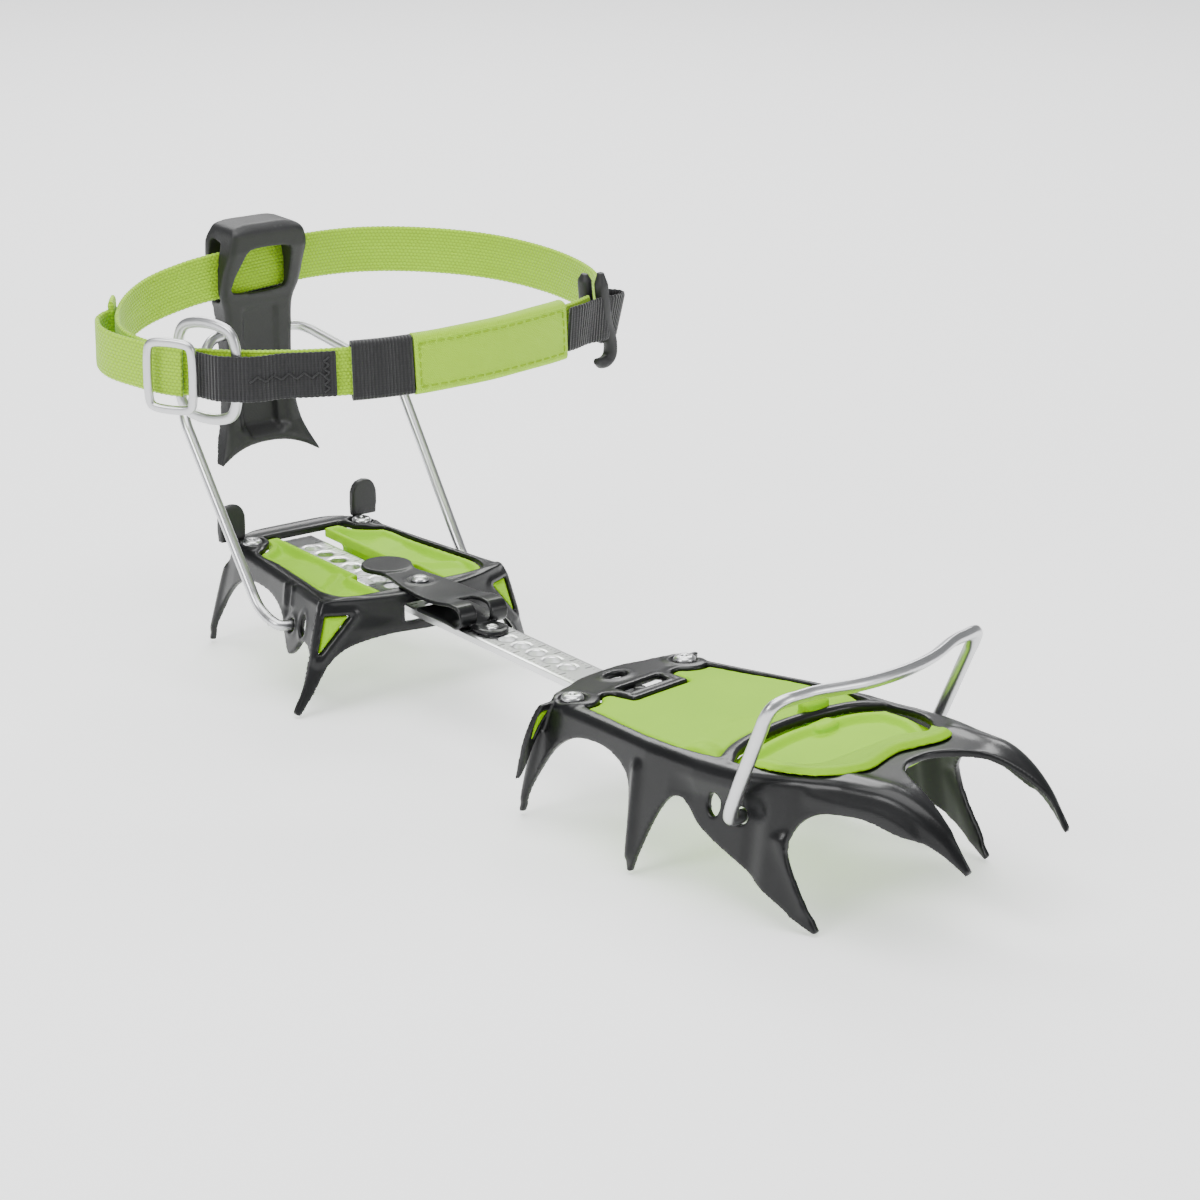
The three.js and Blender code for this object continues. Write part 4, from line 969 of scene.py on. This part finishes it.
# ---- adjusting clip: a spring leaf with a round press tab, two rolled loops and a pin leaf below
clip_line = [(40, 1.0), (57, 1.0), (84, 1.0), (90, 1.35), (95, 2.2), (98.4, 2.75), (101.2, 2.75)]
roll = np.linspace(0.25, math.pi - 0.1, 12)
clip_line += [(101.2 + 3.3 * math.sin(a), -0.55 + 3.3 * math.cos(a)) for a in roll]
clip_line += [(97, -3.5), (90, -3.5), (80, -3.5)]
clip_pts = catmull(clip_line, np.linspace(0, 1, 1200))
clip_s = run_length(clip_pts) + 40
CLIP_END = float(clip_s[-1])


def leaf(P, t):
    s, y = P[:, 0], P[:, 1]
    get = lambda q: np.stack([np.interp(q, clip_s, clip_pts[:, k]) for k in (0, 1)], 1)
    at, d = get(s), get(s + 0.2) - get(s - 0.2)
    d /= np.maximum(np.linalg.norm(d, axis=1), 1e-9)[:, None]
    x, z = at[:, 0] - d[:, 1] * t, at[:, 1] + d[:, 0] * t
    return np.stack([x, y - 0.2, z], 1)


leaf_half = [(41.2, 0), (42.4, 4.6), (46, 7.8), (50.5, 8.3), (54.6, 6.6), (57.6, 5.9), (62, 6.6), (70, 8.0),
             (80, 9.0, 1), (CLIP_END, 9.0, 1), (CLIP_END, 0)]
leaf_slot = outline([(93.5, -2.3), (95, -2.6, 1), (112.2, -2.6, 1), (112.2, 2.6, 1), (95, 2.6, 1),
                     (93.5, 2.3)], 1)


def leaf_rise(P):
    tab = smoothstep(55.5, 54.0, np.hypot(P[:, 0] - 49.4, P[:, 1]) + 46.2)
    return 0.45 * tab + 0.25 * bumpy(np.hypot(P[:, 0] - 69, P[:, 1]), 4.6, 1.0)


pin_loop = outline([(96, -4.2, 1), (103, -4.8), (108, -5.9), (113, -4.6), (115.2, -0.5), (113, 3.6), (108, 4.9),
                    (103, 3.8), (96, 3.2, 1)])


def pin_top(P):
    return xyz(P, -2.9 + 0.4 * bumpy(np.hypot(P[:, 0] - 109.6, P[:, 1] + 0.5), 4.0, 0.9))


piece("adjust_clip_spring", [
    sheet(outline(mirrored(leaf_half)), [leaf_slot],
          lambda P: leaf(P, 0.6 + leaf_rise(P)), lambda P: leaf(P, -0.6), 0.7),
    sheet(pin_loop, [], pin_top, flat(-4.1), 0.8)],
    SPRING, ["adjust_clip"], False, 0.3, 3)

# ---- heel lever: posts and roof of the strap window, channelled body, flared thumb end
LF = ([20.4, 26, 32, 46, 60, 70, 76, 86, 93, 99, 102],
      [-19.8, -22.2, -24.6, -26.6, -26.6, -26.6, -26.6, -23.8, -21.0, -20.6, -22.8])
LR = ([20.4, 28, 44, 58, 71, 84, 95, 102], [-25.2, -30.4, -33.4, -34, -35.6, -37.0, -37.2, -35.8])
lever_rim = outline([(0, 102), (9, 101.8), (13.4, 100.2), (15.4, 96.6), (15.8, 88), (15.2, 79), (13.2, 73),
                     (12.7, 64), (12.6, 52), (13.2, 40), (15.4, 30), (19.6, 20.6, 1), (14.5, 23.4), (8, 25.6),
                     (0, 26.4), (-8, 25.6), (-14.5, 23.4), (-19.6, 20.6, 1), (-15.4, 30), (-13.2, 40),
                     (-12.6, 52), (-12.7, 64), (-13.4, 73), (-15.2, 79), (-15.0, 88), (-13.6, 96),
                     (-12.4, 100.4), (-8, 101.8)], 1.0)
lever_win = outline([(-7.6, 92.2), (-6.4, 93.4), (8.4, 93.4), (9.5, 92.2),
                     (10.2, 80), (9.2, 78.6), (-10.4, 78.6), (-11.3, 80)], 1.0)


def lever_front(P):
    y, z = P[:, 0], P[:, 1]
    x = np.interp(z, *LF)
    d = rim_distance(P, lever_rim)
    x = x - 1.0 * (1 - smoothstep(0, 2.2, d)) ** 2
    chan = (1 - smoothstep(5.8, 7.0, np.abs(y + 0.2))) * smoothstep(28, 31, z) * (1 - smoothstep(71, 73.5, z))
    x = x - chan * (0.9 + 2.4 * (1 - smoothstep(52, 57, z)))
    pocket = (1 - smoothstep(8.6, 9.8, np.abs(y))) * smoothstep(30, 32, z) * (1 - smoothstep(50, 52.5, z))
    x = x - pocket * 1.9
    lip = bumpy(z, 28.6, 1.8) * (1 - smoothstep(9, 12, np.abs(y)))
    return np.stack([x + 0.7 * lip, y, z], 1)


def lever_mid(P):
    z = P[:, 1]
    rear = np.interp(z, *LR)
    slot = smoothstep(74.6, 75.4, z) * (1 - smoothstep(95.8, 96.6, z))
    return np.stack([rear + slot * (-28.7 - rear), P[:, 0], z], 1)


def back_plate(t):
    return lambda P: np.stack([np.interp(P[:, 1], *LR) + t, P[:, 0], P[:, 1]], 1)


tail_rim = outline([(0, 101.4), (8.6, 101.2), (12.6, 99.6), (14.6, 96), (15, 88), (14.4, 79), (12.6, 73),
                    (12.2, 70.5, 1), (-12.2, 70.5, 1), (-12.6, 73), (-14.4, 79), (-15, 88), (-14.6, 96),
                    (-12.6, 99.6), (-8.6, 101.2)], 1.0)
piece("heel_lever_body", [
    sheet(lever_rim, [lever_win], lever_front, lever_mid, 0.9),
    sheet(tail_rim, [lever_win], back_plate(3.0), back_plate(0.1), 0.9)],
    PLASTIC, ["heel_lever"], False, VOX, 8)


# ---- strap hook: two prongs above the webbing and a curled hook below it
def tapered(path, a, b, e=2.6):
    pts = catmull(path, np.linspace(0, 1, 60))
    grow = lambda t: 0.45 + 0.55 * min(1, math.sin(math.pi * min(max(t, 0.02), 0.98)) * 3.2)
    return sweep(pts, lambda t: superellipse(a * grow(t), b * grow(t), e, 20))


piece("strap_hook_body", [
    tapered([(67.4, 72.4, 92.6), (67.2, 73.0, 87), (66.6, 74.4, 80), (65.2, 76.4, 74), (64.6, 78.6, 68),
             (64.8, 78.2, 63.4), (65.4, 75.4, 61.6), (66, 71.8, 62.6)], 2.0, 2.5),
    tapered([(61.6, 70.2, 91.4), (61.4, 70.6, 86), (61.6, 71.6, 79), (62.6, 73.4, 72), (63.6, 76.4, 68)], 1.9,
            2.7)],
    PLASTIC, ["strap_hook"], False, 0.35, 6)

# ---- linking bar: rolled strip with chamfered holes and generic size ticks
bar_loop = outline([(-8.5, -8, 1), (192.5, -8, 1), (196.5, -4, 1), (196.5, 3, 1), (192.5, 7, 1),
                    (-8.5, 7, 1)], 3)
bar_holes = [circle(HOLE_X + HOLE_PITCH * k, BAR_Y, 2.7, n=36) for k in range(19) if k < 11 or k > 12]


def bar_top(P):
    near = np.min([np.hypot(P[:, 0] - (HOLE_X + HOLE_PITCH * k), P[:, 1] - BAR_Y) for k in range(19)], axis=0)
    rim = rim_distance(P, bar_loop)
    return xyz(P, -4.4 - 0.35 * (1 - smoothstep(2.7, 3.15, near)) - 0.3 * (1 - smoothstep(0, 0.5, rim)))


def bar_low(P):
    rim = rim_distance(P, bar_loop)
    return xyz(P, -7.0 + 0.3 * (1 - smoothstep(0, 0.5, rim)))


piece("linking_bar_strip", [sheet(bar_loop, bar_holes, bar_top, bar_low, 0.9)], BAR,
      ["linking_bar"], angle=40)
piece("bar_stud_peg", [turned([(0.05, 4.5), (1.5, 4.5), (2.0, 4.1), (2.0, 0.3)], (186.4, -0.5, -4.4))], STEEL,
      ["bar_stud"], angle=40)

# ---- wires
def bail_side(sd):
    return [(78.4, sd * 35.4, -12.8), (78.4, sd * 43.0, -12.8), (84.4, sd * 44.1, 0.6), (95.8, sd * 44.5, 25.4)]


bow = [(103.8 - 0.0066 * y * y, y, 25.2 + 0.0004 * y * y) for y in (-30, -15, 0, 15, 30)]
bail_pts = rounded([*bail_side(-1), bow[0]], 5)[:-1] + [V3(p) for p in bow]
bail_pts += rounded([bow[4], *bail_side(1)[::-1]], 5)[1:]
bail_path = catmull(bail_pts, np.linspace(0, 1, 260))


def bail_shape(t):
    press = smoothstep(0.3, 0.42, t) * (1 - smoothstep(0.58, 0.7, t))
    return superellipse(2.0 - 0.35 * press, 2.0 + 0.75 * press, 2.0 + 1.2 * press, 32)


piece("toe_bail_wire", [sweep(bail_path, bail_shape)], WIRE, ["toe_bail"], True, angle=60)


def heel_side(sd):
    return [(45.8, sd * 31.2, -13.2), (45.8, sd * 39.6, -13.2), (35.5, sd * 40.6, -9.6), (-7.6, sd * 42, 46),
            (-30, sd * 17.5, 63.5)]


heel_path = catmull(rounded([*heel_side(-1), *heel_side(1)[::-1]], 4.5), np.linspace(0, 1, 320))
piece("heel_wire_rod", [sweep(heel_path, lambda t: superellipse(1.75, 1.75, 2, 20))], WIRE,
      ["heel_wire"], angle=60)

# ---------------------------------------------------------------- strap
STRAP = [
    (60, 78, 77.4), (44, 86.5, 79.4), (20, 88, 81.4), (-4, 80, 83.2), (-21, 63, 84.8), (-30, 42, 86),
    (-31.2, 22, 86.4), (-30, 8, 86), (-30, -8, 84.8), (-32, -24, 82.6), (-30, -42, 79), (-18, -58, 75.4),
    (0, -67, 72.6), (20, -64, 71.2), (36, -52.5, 71), (48, -38, 71.2), (58, -20, 71.6), (65, 0, 72.4),
    (69, 22, 73.8), (69.6, 44, 75.4), (67.6, 60, 76.4), (64.4, 70, 77)]
strap_pts = catmull(STRAP, np.linspace(0, 1, 4000))
strap_u = run_length(strap_pts)
STRAP_LEN = float(strap_u[-1])


def strap_at(u):
    """Point, direction, outward normal and upward edge of the strap, u millimetres along it."""
    u = np.atleast_1d(np.asarray(u, dtype=float))
    get = lambda q: np.stack([np.interp(q, strap_u, strap_pts[:, k]) for k in range(3)], 1)
    t = get(np.minimum(u + 0.4, STRAP_LEN)) - get(np.maximum(u - 0.4, 0))
    t /= np.linalg.norm(t, axis=1)[:, None]
    n = np.stack([t[:, 1], -t[:, 0], np.zeros(len(u))], 1)
    n /= np.linalg.norm(n, axis=1)[:, None]
    up = np.cross(n, t)
    up *= np.sign(up[:, 2])[:, None]
    return get(u), t, n, up


def weave(u, w, pitch=1.75, row=1.3):
    col = np.floor(w / row)
    uu = u / pitch + 0.5 * (col % 2)
    a = np.abs(uu - np.floor(uu) - 0.5) * 2
    b = np.abs(w / row - np.floor(w / row) - 0.5) * 2
    return 1 - 0.55 * a ** 2 - 0.6 * b ** 2


def ribs(u, w):
    return 0.5 + 0.5 * np.cos(u * 2 * np.pi) - 0.25 * np.abs(np.sin(w * 2.2))


def map_mm(obj, along, across):
    """UV map in millimetres from per-vertex distances along and across the tape."""
    uv = obj.data.uv_layers.new(name="mm")
    at = np.zeros(len(obj.data.loops), dtype=np.int32)
    obj.data.loops.foreach_get("vertex_index", at)
    uv.data.foreach_set("uv", np.stack([along[at], across[at]], 1).ravel().astype(np.float32))


def tape(name, u0, u1, layer, width, thick, mat, nodes, pattern=None, relief=0.16, rise=0.0, du=0.33,
         line=None):
    """Webbing as a swept tape with woven relief on both faces, from u0 to u1 at height layer(u)."""
    pattern = pattern or weave
    nu, nw, edge = max(8, int((u1 - u0) / du)), 44, 0.16
    us = np.linspace(u0, u1, nu + 1)
    p, _, n, up = (line or strap_at)(us)
    half, th = width / 2, thick / 2
    ws = np.linspace(-half, half, nw + 1)
    verts = np.zeros((nu + 1, 2 * (nw + 1), 3))
    U, Wd = np.meshgrid(us, ws, indexing="ij")
    rel = pattern(U, Wd + half) * relief
    taper = 1 - 0.55 * smoothstep(half - 0.9, half, np.abs(Wd))
    lay = layer(us)[:, None]
    wave = edge * 0.5 * np.sin(us / 1.75 * 2 * np.pi)[:, None] * smoothstep(half - 0.8, half, np.abs(Wd))
    wave = wave * np.sign(Wd)
    for side, base in ((1, 0), (-1, nw + 1)):
        off = lay + side * ((th - relief * 0.6) * taper + rel * taper)
        q = p[:, None] + n[:, None] * off[..., None] + up[:, None] * (Wd + wave + rise)[..., None]
        verts[:, base:base + nw + 1] = q if side > 0 else q[:, ::-1]
    m = 2 * (nw + 1)
    faces = tube_faces(nu + 1, m)
    faces.append(tuple(range(m)))
    faces.append(tuple(reversed(range(nu * m, (nu + 1) * m))))
    obj = piece(name, [(verts.reshape(-1, 3), faces)], mat, nodes)
    map_mm(obj, np.repeat(us, m), np.tile(np.concatenate([ws, ws[::-1]]) + half, nu + 1))


U_RING, U_SLEEVE = 268, 343  # where the slider ring and the sleeve's rear end sit
WEB_W, WEB_T = 15.6, 1.5  # width and thickness of the lime webbing


def const(c):
    return lambda u: np.full(len(u), float(c))


tape("strap_main_web", 0, STRAP_LEN, const(0), WEB_W, WEB_T, WEB_LIME, ["strap_main"])


def loop_layer(u):
    lay = 6.4 + (2.2 - 6.4) * smoothstep(U_RING - 34, U_RING - 12, u)
    return 1.55 + (lay - 1.55) * np.sqrt(np.clip((u - (U_RING - 44)) / 6, 0, 1))


tape("strap_ring_loop_web", U_RING - 44, U_RING + 2, loop_layer, WEB_W, WEB_T, WEB_LIME,
     ["strap_ring_loop"])
tape("strap_tail_fold", U_RING - 49, U_RING - 43.4, const(2.1), 15.2, 1.9, WEB_LIME,
     ["strap_ring_loop"], rise=3.0)


def tab_layer(u):
    up = 2.3 + 4.2 * smoothstep(U_RING + 5, U_RING + 16, u)
    dn = 6.5 + (1.95 - 6.5) * smoothstep(U_RING + 23, U_RING + 36, u)
    return np.where(u < U_RING + 19, up, dn)


tape("strap_tab_black_web", U_RING + 4.6, U_RING + 50, tab_layer, 14.6, 1.3, WEB_BLACK,
     ["strap_tab_black"], ribs, 0.13, du=0.17)


def band_tube(name, u0, u1, clear, wall, mat, nodes, pattern, relief, du, flare=0.0):
    """Closed sleeve of cloth around the strap, soft at its rims."""
    nu, m = max(8, int((u1 - u0) / du)), 150
    us = np.linspace(u0, u1, nu + 1)
    p, _, n, up = strap_at(us)
    hw, ht = WEB_W / 2 + clear, WEB_T / 2 + clear
    # Rounded-rectangle loop: outer face, top edge, inner face, bottom edge.
    loop = []
    for q in np.arange(m) / m * 4:
        k, f = int(q), q - int(q)
        if k == 0:
            loop.append((1, -1 + 2 * f, 0))
        elif k == 1:
            loop.append((math.cos(f * math.pi), 1, f))
        elif k == 2:
            loop.append((-1, 1 - 2 * f, 0))
        else:
            loop.append((-math.cos(f * math.pi), -1, f))
    rings = []
    for shell in (1, 0):
        ring = np.zeros((nu + 1, m, 3))
        for j, (a, b, f) in enumerate(loop):
            bulge = math.sin(f * math.pi) if abs(b) >= 0.999 and f > 0 else 0
            w0 = b * (hw + (0.35 + wall) * bulge * (1 if shell else 0.3))
            off = np.full(len(us), a * (ht + (wall if shell else 0)))
            if shell and abs(a) >= 0.999:
                rel = pattern(us, np.full(len(us), w0 + 9)) * relief
                puff = 0.35 * (1 - (w0 / (hw + 1)) ** 2)
                end = 1 - 0.5 * (smoothstep(1.0, 0.0, us - u0) + smoothstep(1.0, 0.0, u1 - us))
                off = off + np.sign(a) * (rel + puff) * end
            lift = flare * (np.sin(us / 4.1 + j * 0.02) * 0.5) * (abs(w0) > hw * 0.7)
            ring[:, j] = p + n * off[:, None] + up * (w0 + lift)[:, None]
        rings.append(ring.reshape(-1, 3))
    base = (nu + 1) * m
    faces = []
    for quad in tube_faces(nu + 1, m):
        faces += [quad, tuple(base + quad[i] for i in (1, 0, 3, 2))]
    for k in range(m):
        a, b = k, (k + 1) % m
        faces.append((b, a, base + a, base + b))
        a, b = nu * m + k, nu * m + (k + 1) % m
        faces.append((a, b, base + b, base + a))
    obj = piece(name, [(np.concatenate(rings), faces)], mat, nodes)
    across = np.array([b * hw + 9 for _, b, _ in loop])
    map_mm(obj, np.tile(np.repeat(us, m), 2), np.tile(across, 2 * (nu + 1)))


band_tube("strap_keeper_web", U_SLEEVE - 20, U_SLEEVE - 0.5, 0.45, 1.1, WEB_BLACK,
          ["strap_keeper"], ribs, 0.13, 0.17)
band_tube("strap_sleeve_web", U_SLEEVE, U_SLEEVE + 56, 0.5, 1.35, PATCH, ["strap_sleeve"],
          lambda u, w: weave(u, w, 0.9, 0.7), 0.05, 0.33, 0.12)


def line_of(points, tilt):
    """Arc-length line through points for tape(), with its upward edge along tilt, and its length."""
    pts = catmull(points, np.linspace(0, 1, 1500))
    ln = run_length(pts)

    def at(u):
        u = np.atleast_1d(np.asarray(u, dtype=float))
        get = lambda q: np.stack([np.interp(q, ln, pts[:, k]) for k in range(3)], 1)
        t = get(np.minimum(u + 0.15, ln[-1])) - get(np.maximum(u - 0.15, 0))
        t /= np.linalg.norm(t, axis=1)[:, None]
        up = np.tile(V3(tilt) / np.linalg.norm(tilt), (len(u), 1))
        n = np.cross(t, up)
        n /= np.linalg.norm(n, axis=1)[:, None]
        return get(u), t, n, np.cross(n, t) * np.sign(np.cross(n, t)[:, 2])[:, None]
    return at, float(ln[-1])


pe, te, ne, _ = (a[0] for a in strap_at(U_SLEEVE + 57.5))
pm, tm, nm, _ = (a[0] for a in strap_at(STRAP_LEN - 1))
out = V3((0.92, 0.38, 0))
fold_pts = [pe + ne * 2.3, pe + ne * 2.5 + te * 5, pm + nm * 3.0 - tm * 1.5, V3((66.2, 76.4, 77.0)) + out * 1.2,
            V3((64.3, 81.6, 76.6)) + out * 0.6, V3((62.6, 83.2, 76.6)), V3((61.0, 82.4, 76.8)),
            V3((60.2, 79.6, 77.2)),
            V3((60.4, 77.0, 77.4))]
fold_line, fold_len = line_of(fold_pts, (0.12, 0.16, 1))
tape("strap_front_black_web", 0, fold_len, const(0), 15.2, 1.2, WEB_BLACK,
     ["strap_front_black"], ribs, 0.13, du=0.17, line=fold_line)


# ---- stitching: short rounded threads laid on the tapes
def stitch(u0, w0, u1, w1, off, r=0.27):
    seg = 5
    us, ws = np.linspace(u0, u1, seg + 1), np.linspace(w0, w1, seg + 1)
    p, _, n, up = strap_at(us)
    lay = off(us) if callable(off) else off
    arch = np.sin(np.linspace(0, np.pi, seg + 1)) * r * 1.1
    path = p + n * (lay + arch - r * 0.4)[:, None] + up * ws[:, None]
    return sweep(path, lambda s: superellipse(r, r, 2, 8))


def stitches(name, runs, mat, node):
    obj = in_scene(bpy.data.objects.new(name, mesh_from([stitch(*r) for r in runs], False, name)))
    dress(obj, mat, node)


THREAD_LIME = lime_plastic()
THREAD_LIME.name = "lime_thread"
for link in list(THREAD_LIME.node_tree.links):
    if link.to_socket.name == "Base Color":
        THREAD_LIME.node_tree.links.remove(link)
THREAD_LIME.node_tree.nodes["Principled BSDF"].inputs["Base Color"].default_value = (0.25, 0.44, 0.006, 1)
THREAD_BLACK = black_plastic()
THREAD_BLACK.name = "black_thread"
out_face = WEB_T / 2 + 0.5 + 1.35  # half the strap, the sleeve's clearance and its wall
runs = []
for w in (-7.1, 7.1):
    puff = 0.35 * (1 - (w / 9.3) ** 2)
    for k in range(17):
        u = U_SLEEVE + 1.6 + k * 3.15
        runs.append((u, w, u + 2.1, w, out_face + puff + 0.08))
for u in (U_SLEEVE + 1.5, U_SLEEVE + 54.4):
    for k in range(5):
        w = -6.4 + k * 2.8
        runs.append((u, w, u, w + 1.9, out_face + 0.3))
stitches("strap_sleeve_stitching", runs, THREAD_LIME, "strap_sleeve")


def zig(u, k):
    return u + (k % 2) * 1.6 - 0.8


runs = []
for k in range(11):
    w = -6.2 + k * 1.13
    runs.append((zig(U_RING - 10, k), w, zig(U_RING - 10, k + 1), w + 1.13, lambda u: loop_layer(u) + 0.92))
stitches("strap_ring_loop_stitching", runs, THREAD_LIME, "strap_ring_loop")
runs = []
for k in range(10):
    u = U_RING + 24 + k * 2.3
    runs.append((u, -0.9 + (k % 2) * 1.8, u + 2.3, 0.9 - (k % 2) * 1.8, lambda u: tab_layer(u) + 0.78))
for k in range(9):
    w = -5.6 + k * 1.25
    runs.append((zig(U_RING + 47, k), w, zig(U_RING + 47, k + 1), w + 1.25, lambda u: tab_layer(u) + 0.78))
stitches("strap_tab_stitching", runs, THREAD_BLACK, "strap_tab_black")


# ---- buckle rings
def ring_path(u, layer, hw, hh, skew, q, rise, count):
    p, t, n, _ = (a[0] for a in strap_at(u))
    side = V3((t[0], t[1], 0)) / math.hypot(t[0], t[1])
    pts = []
    for k, (a, b) in enumerate(((1, 1), (-1, 1), (-1, -1), (1, -1))):
        for i in range(3):
            ang = (k + i / 2) * math.pi / 2
            uu = a * (hw - q) + q * math.cos(ang)
            zz = b * (hh - q) + q * math.sin(ang)
            pts.append(p + side * uu + n * (layer + skew * uu) + V3((0, 0, zz + rise)))
    nn = n - side * skew
    return closed_curve(pts, count), nn / np.linalg.norm(nn)


def flat_ring(name, args, wide, thick, node, e=3.2):
    path, nn = ring_path(*args, 160)
    tan = np.roll(path, -1, 0) - np.roll(path, 1, 0)
    tan /= np.linalg.norm(tan, axis=1)[:, None]
    verts, prof = [], superellipse(wide, thick, e, 20)
    for at, ahead in zip(path, tan):
        side = np.cross(ahead, nn)
        side /= np.linalg.norm(side)
        verts += [at + side * a + nn * b for a, b in prof]
    piece(name, [(V3(verts), tube_faces(len(path), len(prof), True))], WIRE, [node], angle=60)


flat_ring("slider_ring_metal", (U_RING, 6.1, 7.6, 10.6, 0, 2.6, -0.4), 1.4, 1.05, "slider_ring")
flat_ring("d_ring_metal", (U_RING + 9.5, -0.1, 10.4, 15.2, 0.33, 6.5, 0.6), 1.75, 1.2, "d_ring", 2.6)

# ---------------------------------------------------------------- floor, light and camera
YAW, PITCH, ROLL = math.radians(143.32), math.radians(18.65), math.radians(0.36)
FOCAL_PX, FRAME_PX, SENSOR = 3483.0, 1200, 36
EYE = W((955.8, -588.7, 353.9))
fwd = Vector((math.cos(YAW) * math.cos(PITCH), math.sin(YAW) * math.cos(PITCH), -math.sin(PITCH)))
right = Vector((math.sin(YAW), -math.cos(YAW), 0))
up = right.cross(fwd)
r2 = math.cos(ROLL) * right + math.sin(ROLL) * up
u2 = -math.sin(ROLL) * right + math.cos(ROLL) * up
cam = bpy.data.cameras.new("camera")
cam_obj = in_scene(bpy.data.objects.new("camera", cam))
rot = Matrix((r2, u2, -fwd)).transposed()
cam_obj.matrix_world = Matrix.Translation(EYE) @ rot.to_4x4()
cam.sensor_width = SENSOR
cam.lens = SENSOR * FOCAL_PX / FRAME_PX
cam.clip_start = 0.01
cam.clip_end = 20
bpy.context.scene.camera = cam_obj

floor_mesh = bpy.data.meshes.new("floor")
bm = bmesh.new()
bmesh.ops.create_grid(bm, x_segments=2, y_segments=2, size=6)
bm.to_mesh(floor_mesh)
bm.free()
floor = in_scene(bpy.data.objects.new("floor", floor_mesh))
floor.location.z = -0.0004
fm = Mat("floor_paper")
fm.set(Base_Color=(0.93, 0.932, 0.935, 1), Roughness=0.8, Emission_Color=(1, 1, 1, 1), Emission_Strength=0.62)
floor_mesh.materials.append(fm.m)

world = bpy.data.worlds.new("studio")
world.use_nodes = True
world.node_tree.nodes["Background"].inputs[0].default_value = (0.97, 0.98, 1.0, 1)
world.node_tree.nodes["Background"].inputs[1].default_value = 0.36
bpy.context.scene.world = world


def softbox(name, at, to, size, power):
    light = bpy.data.lights.new(name, "AREA")
    light.shape = "RECTANGLE"
    light.size, light.size_y = size
    light.energy = power
    obj = in_scene(bpy.data.objects.new(name, light))
    obj.location = at
    obj.rotation_euler = (Vector(to) - Vector(at)).to_track_quat("-Z", "Y").to_euler()


softbox("overhead", (0.0, -0.1, 1.35), (0, 0, 0), (1.3, 1.2), 24)
softbox("back", (-1.15, 0.75, 1.05), (0, 0, 0.03), (1.3, 0.45), 20)
softbox("key", (0.1, -1.2, 0.75), (0, 0, 0.04), (0.5, 0.5), 9)
softbox("side", (1.1, 0.5, 0.5), (0, 0, 0.04), (0.4, 0.5), 5)

bpy.context.view_layer.update()
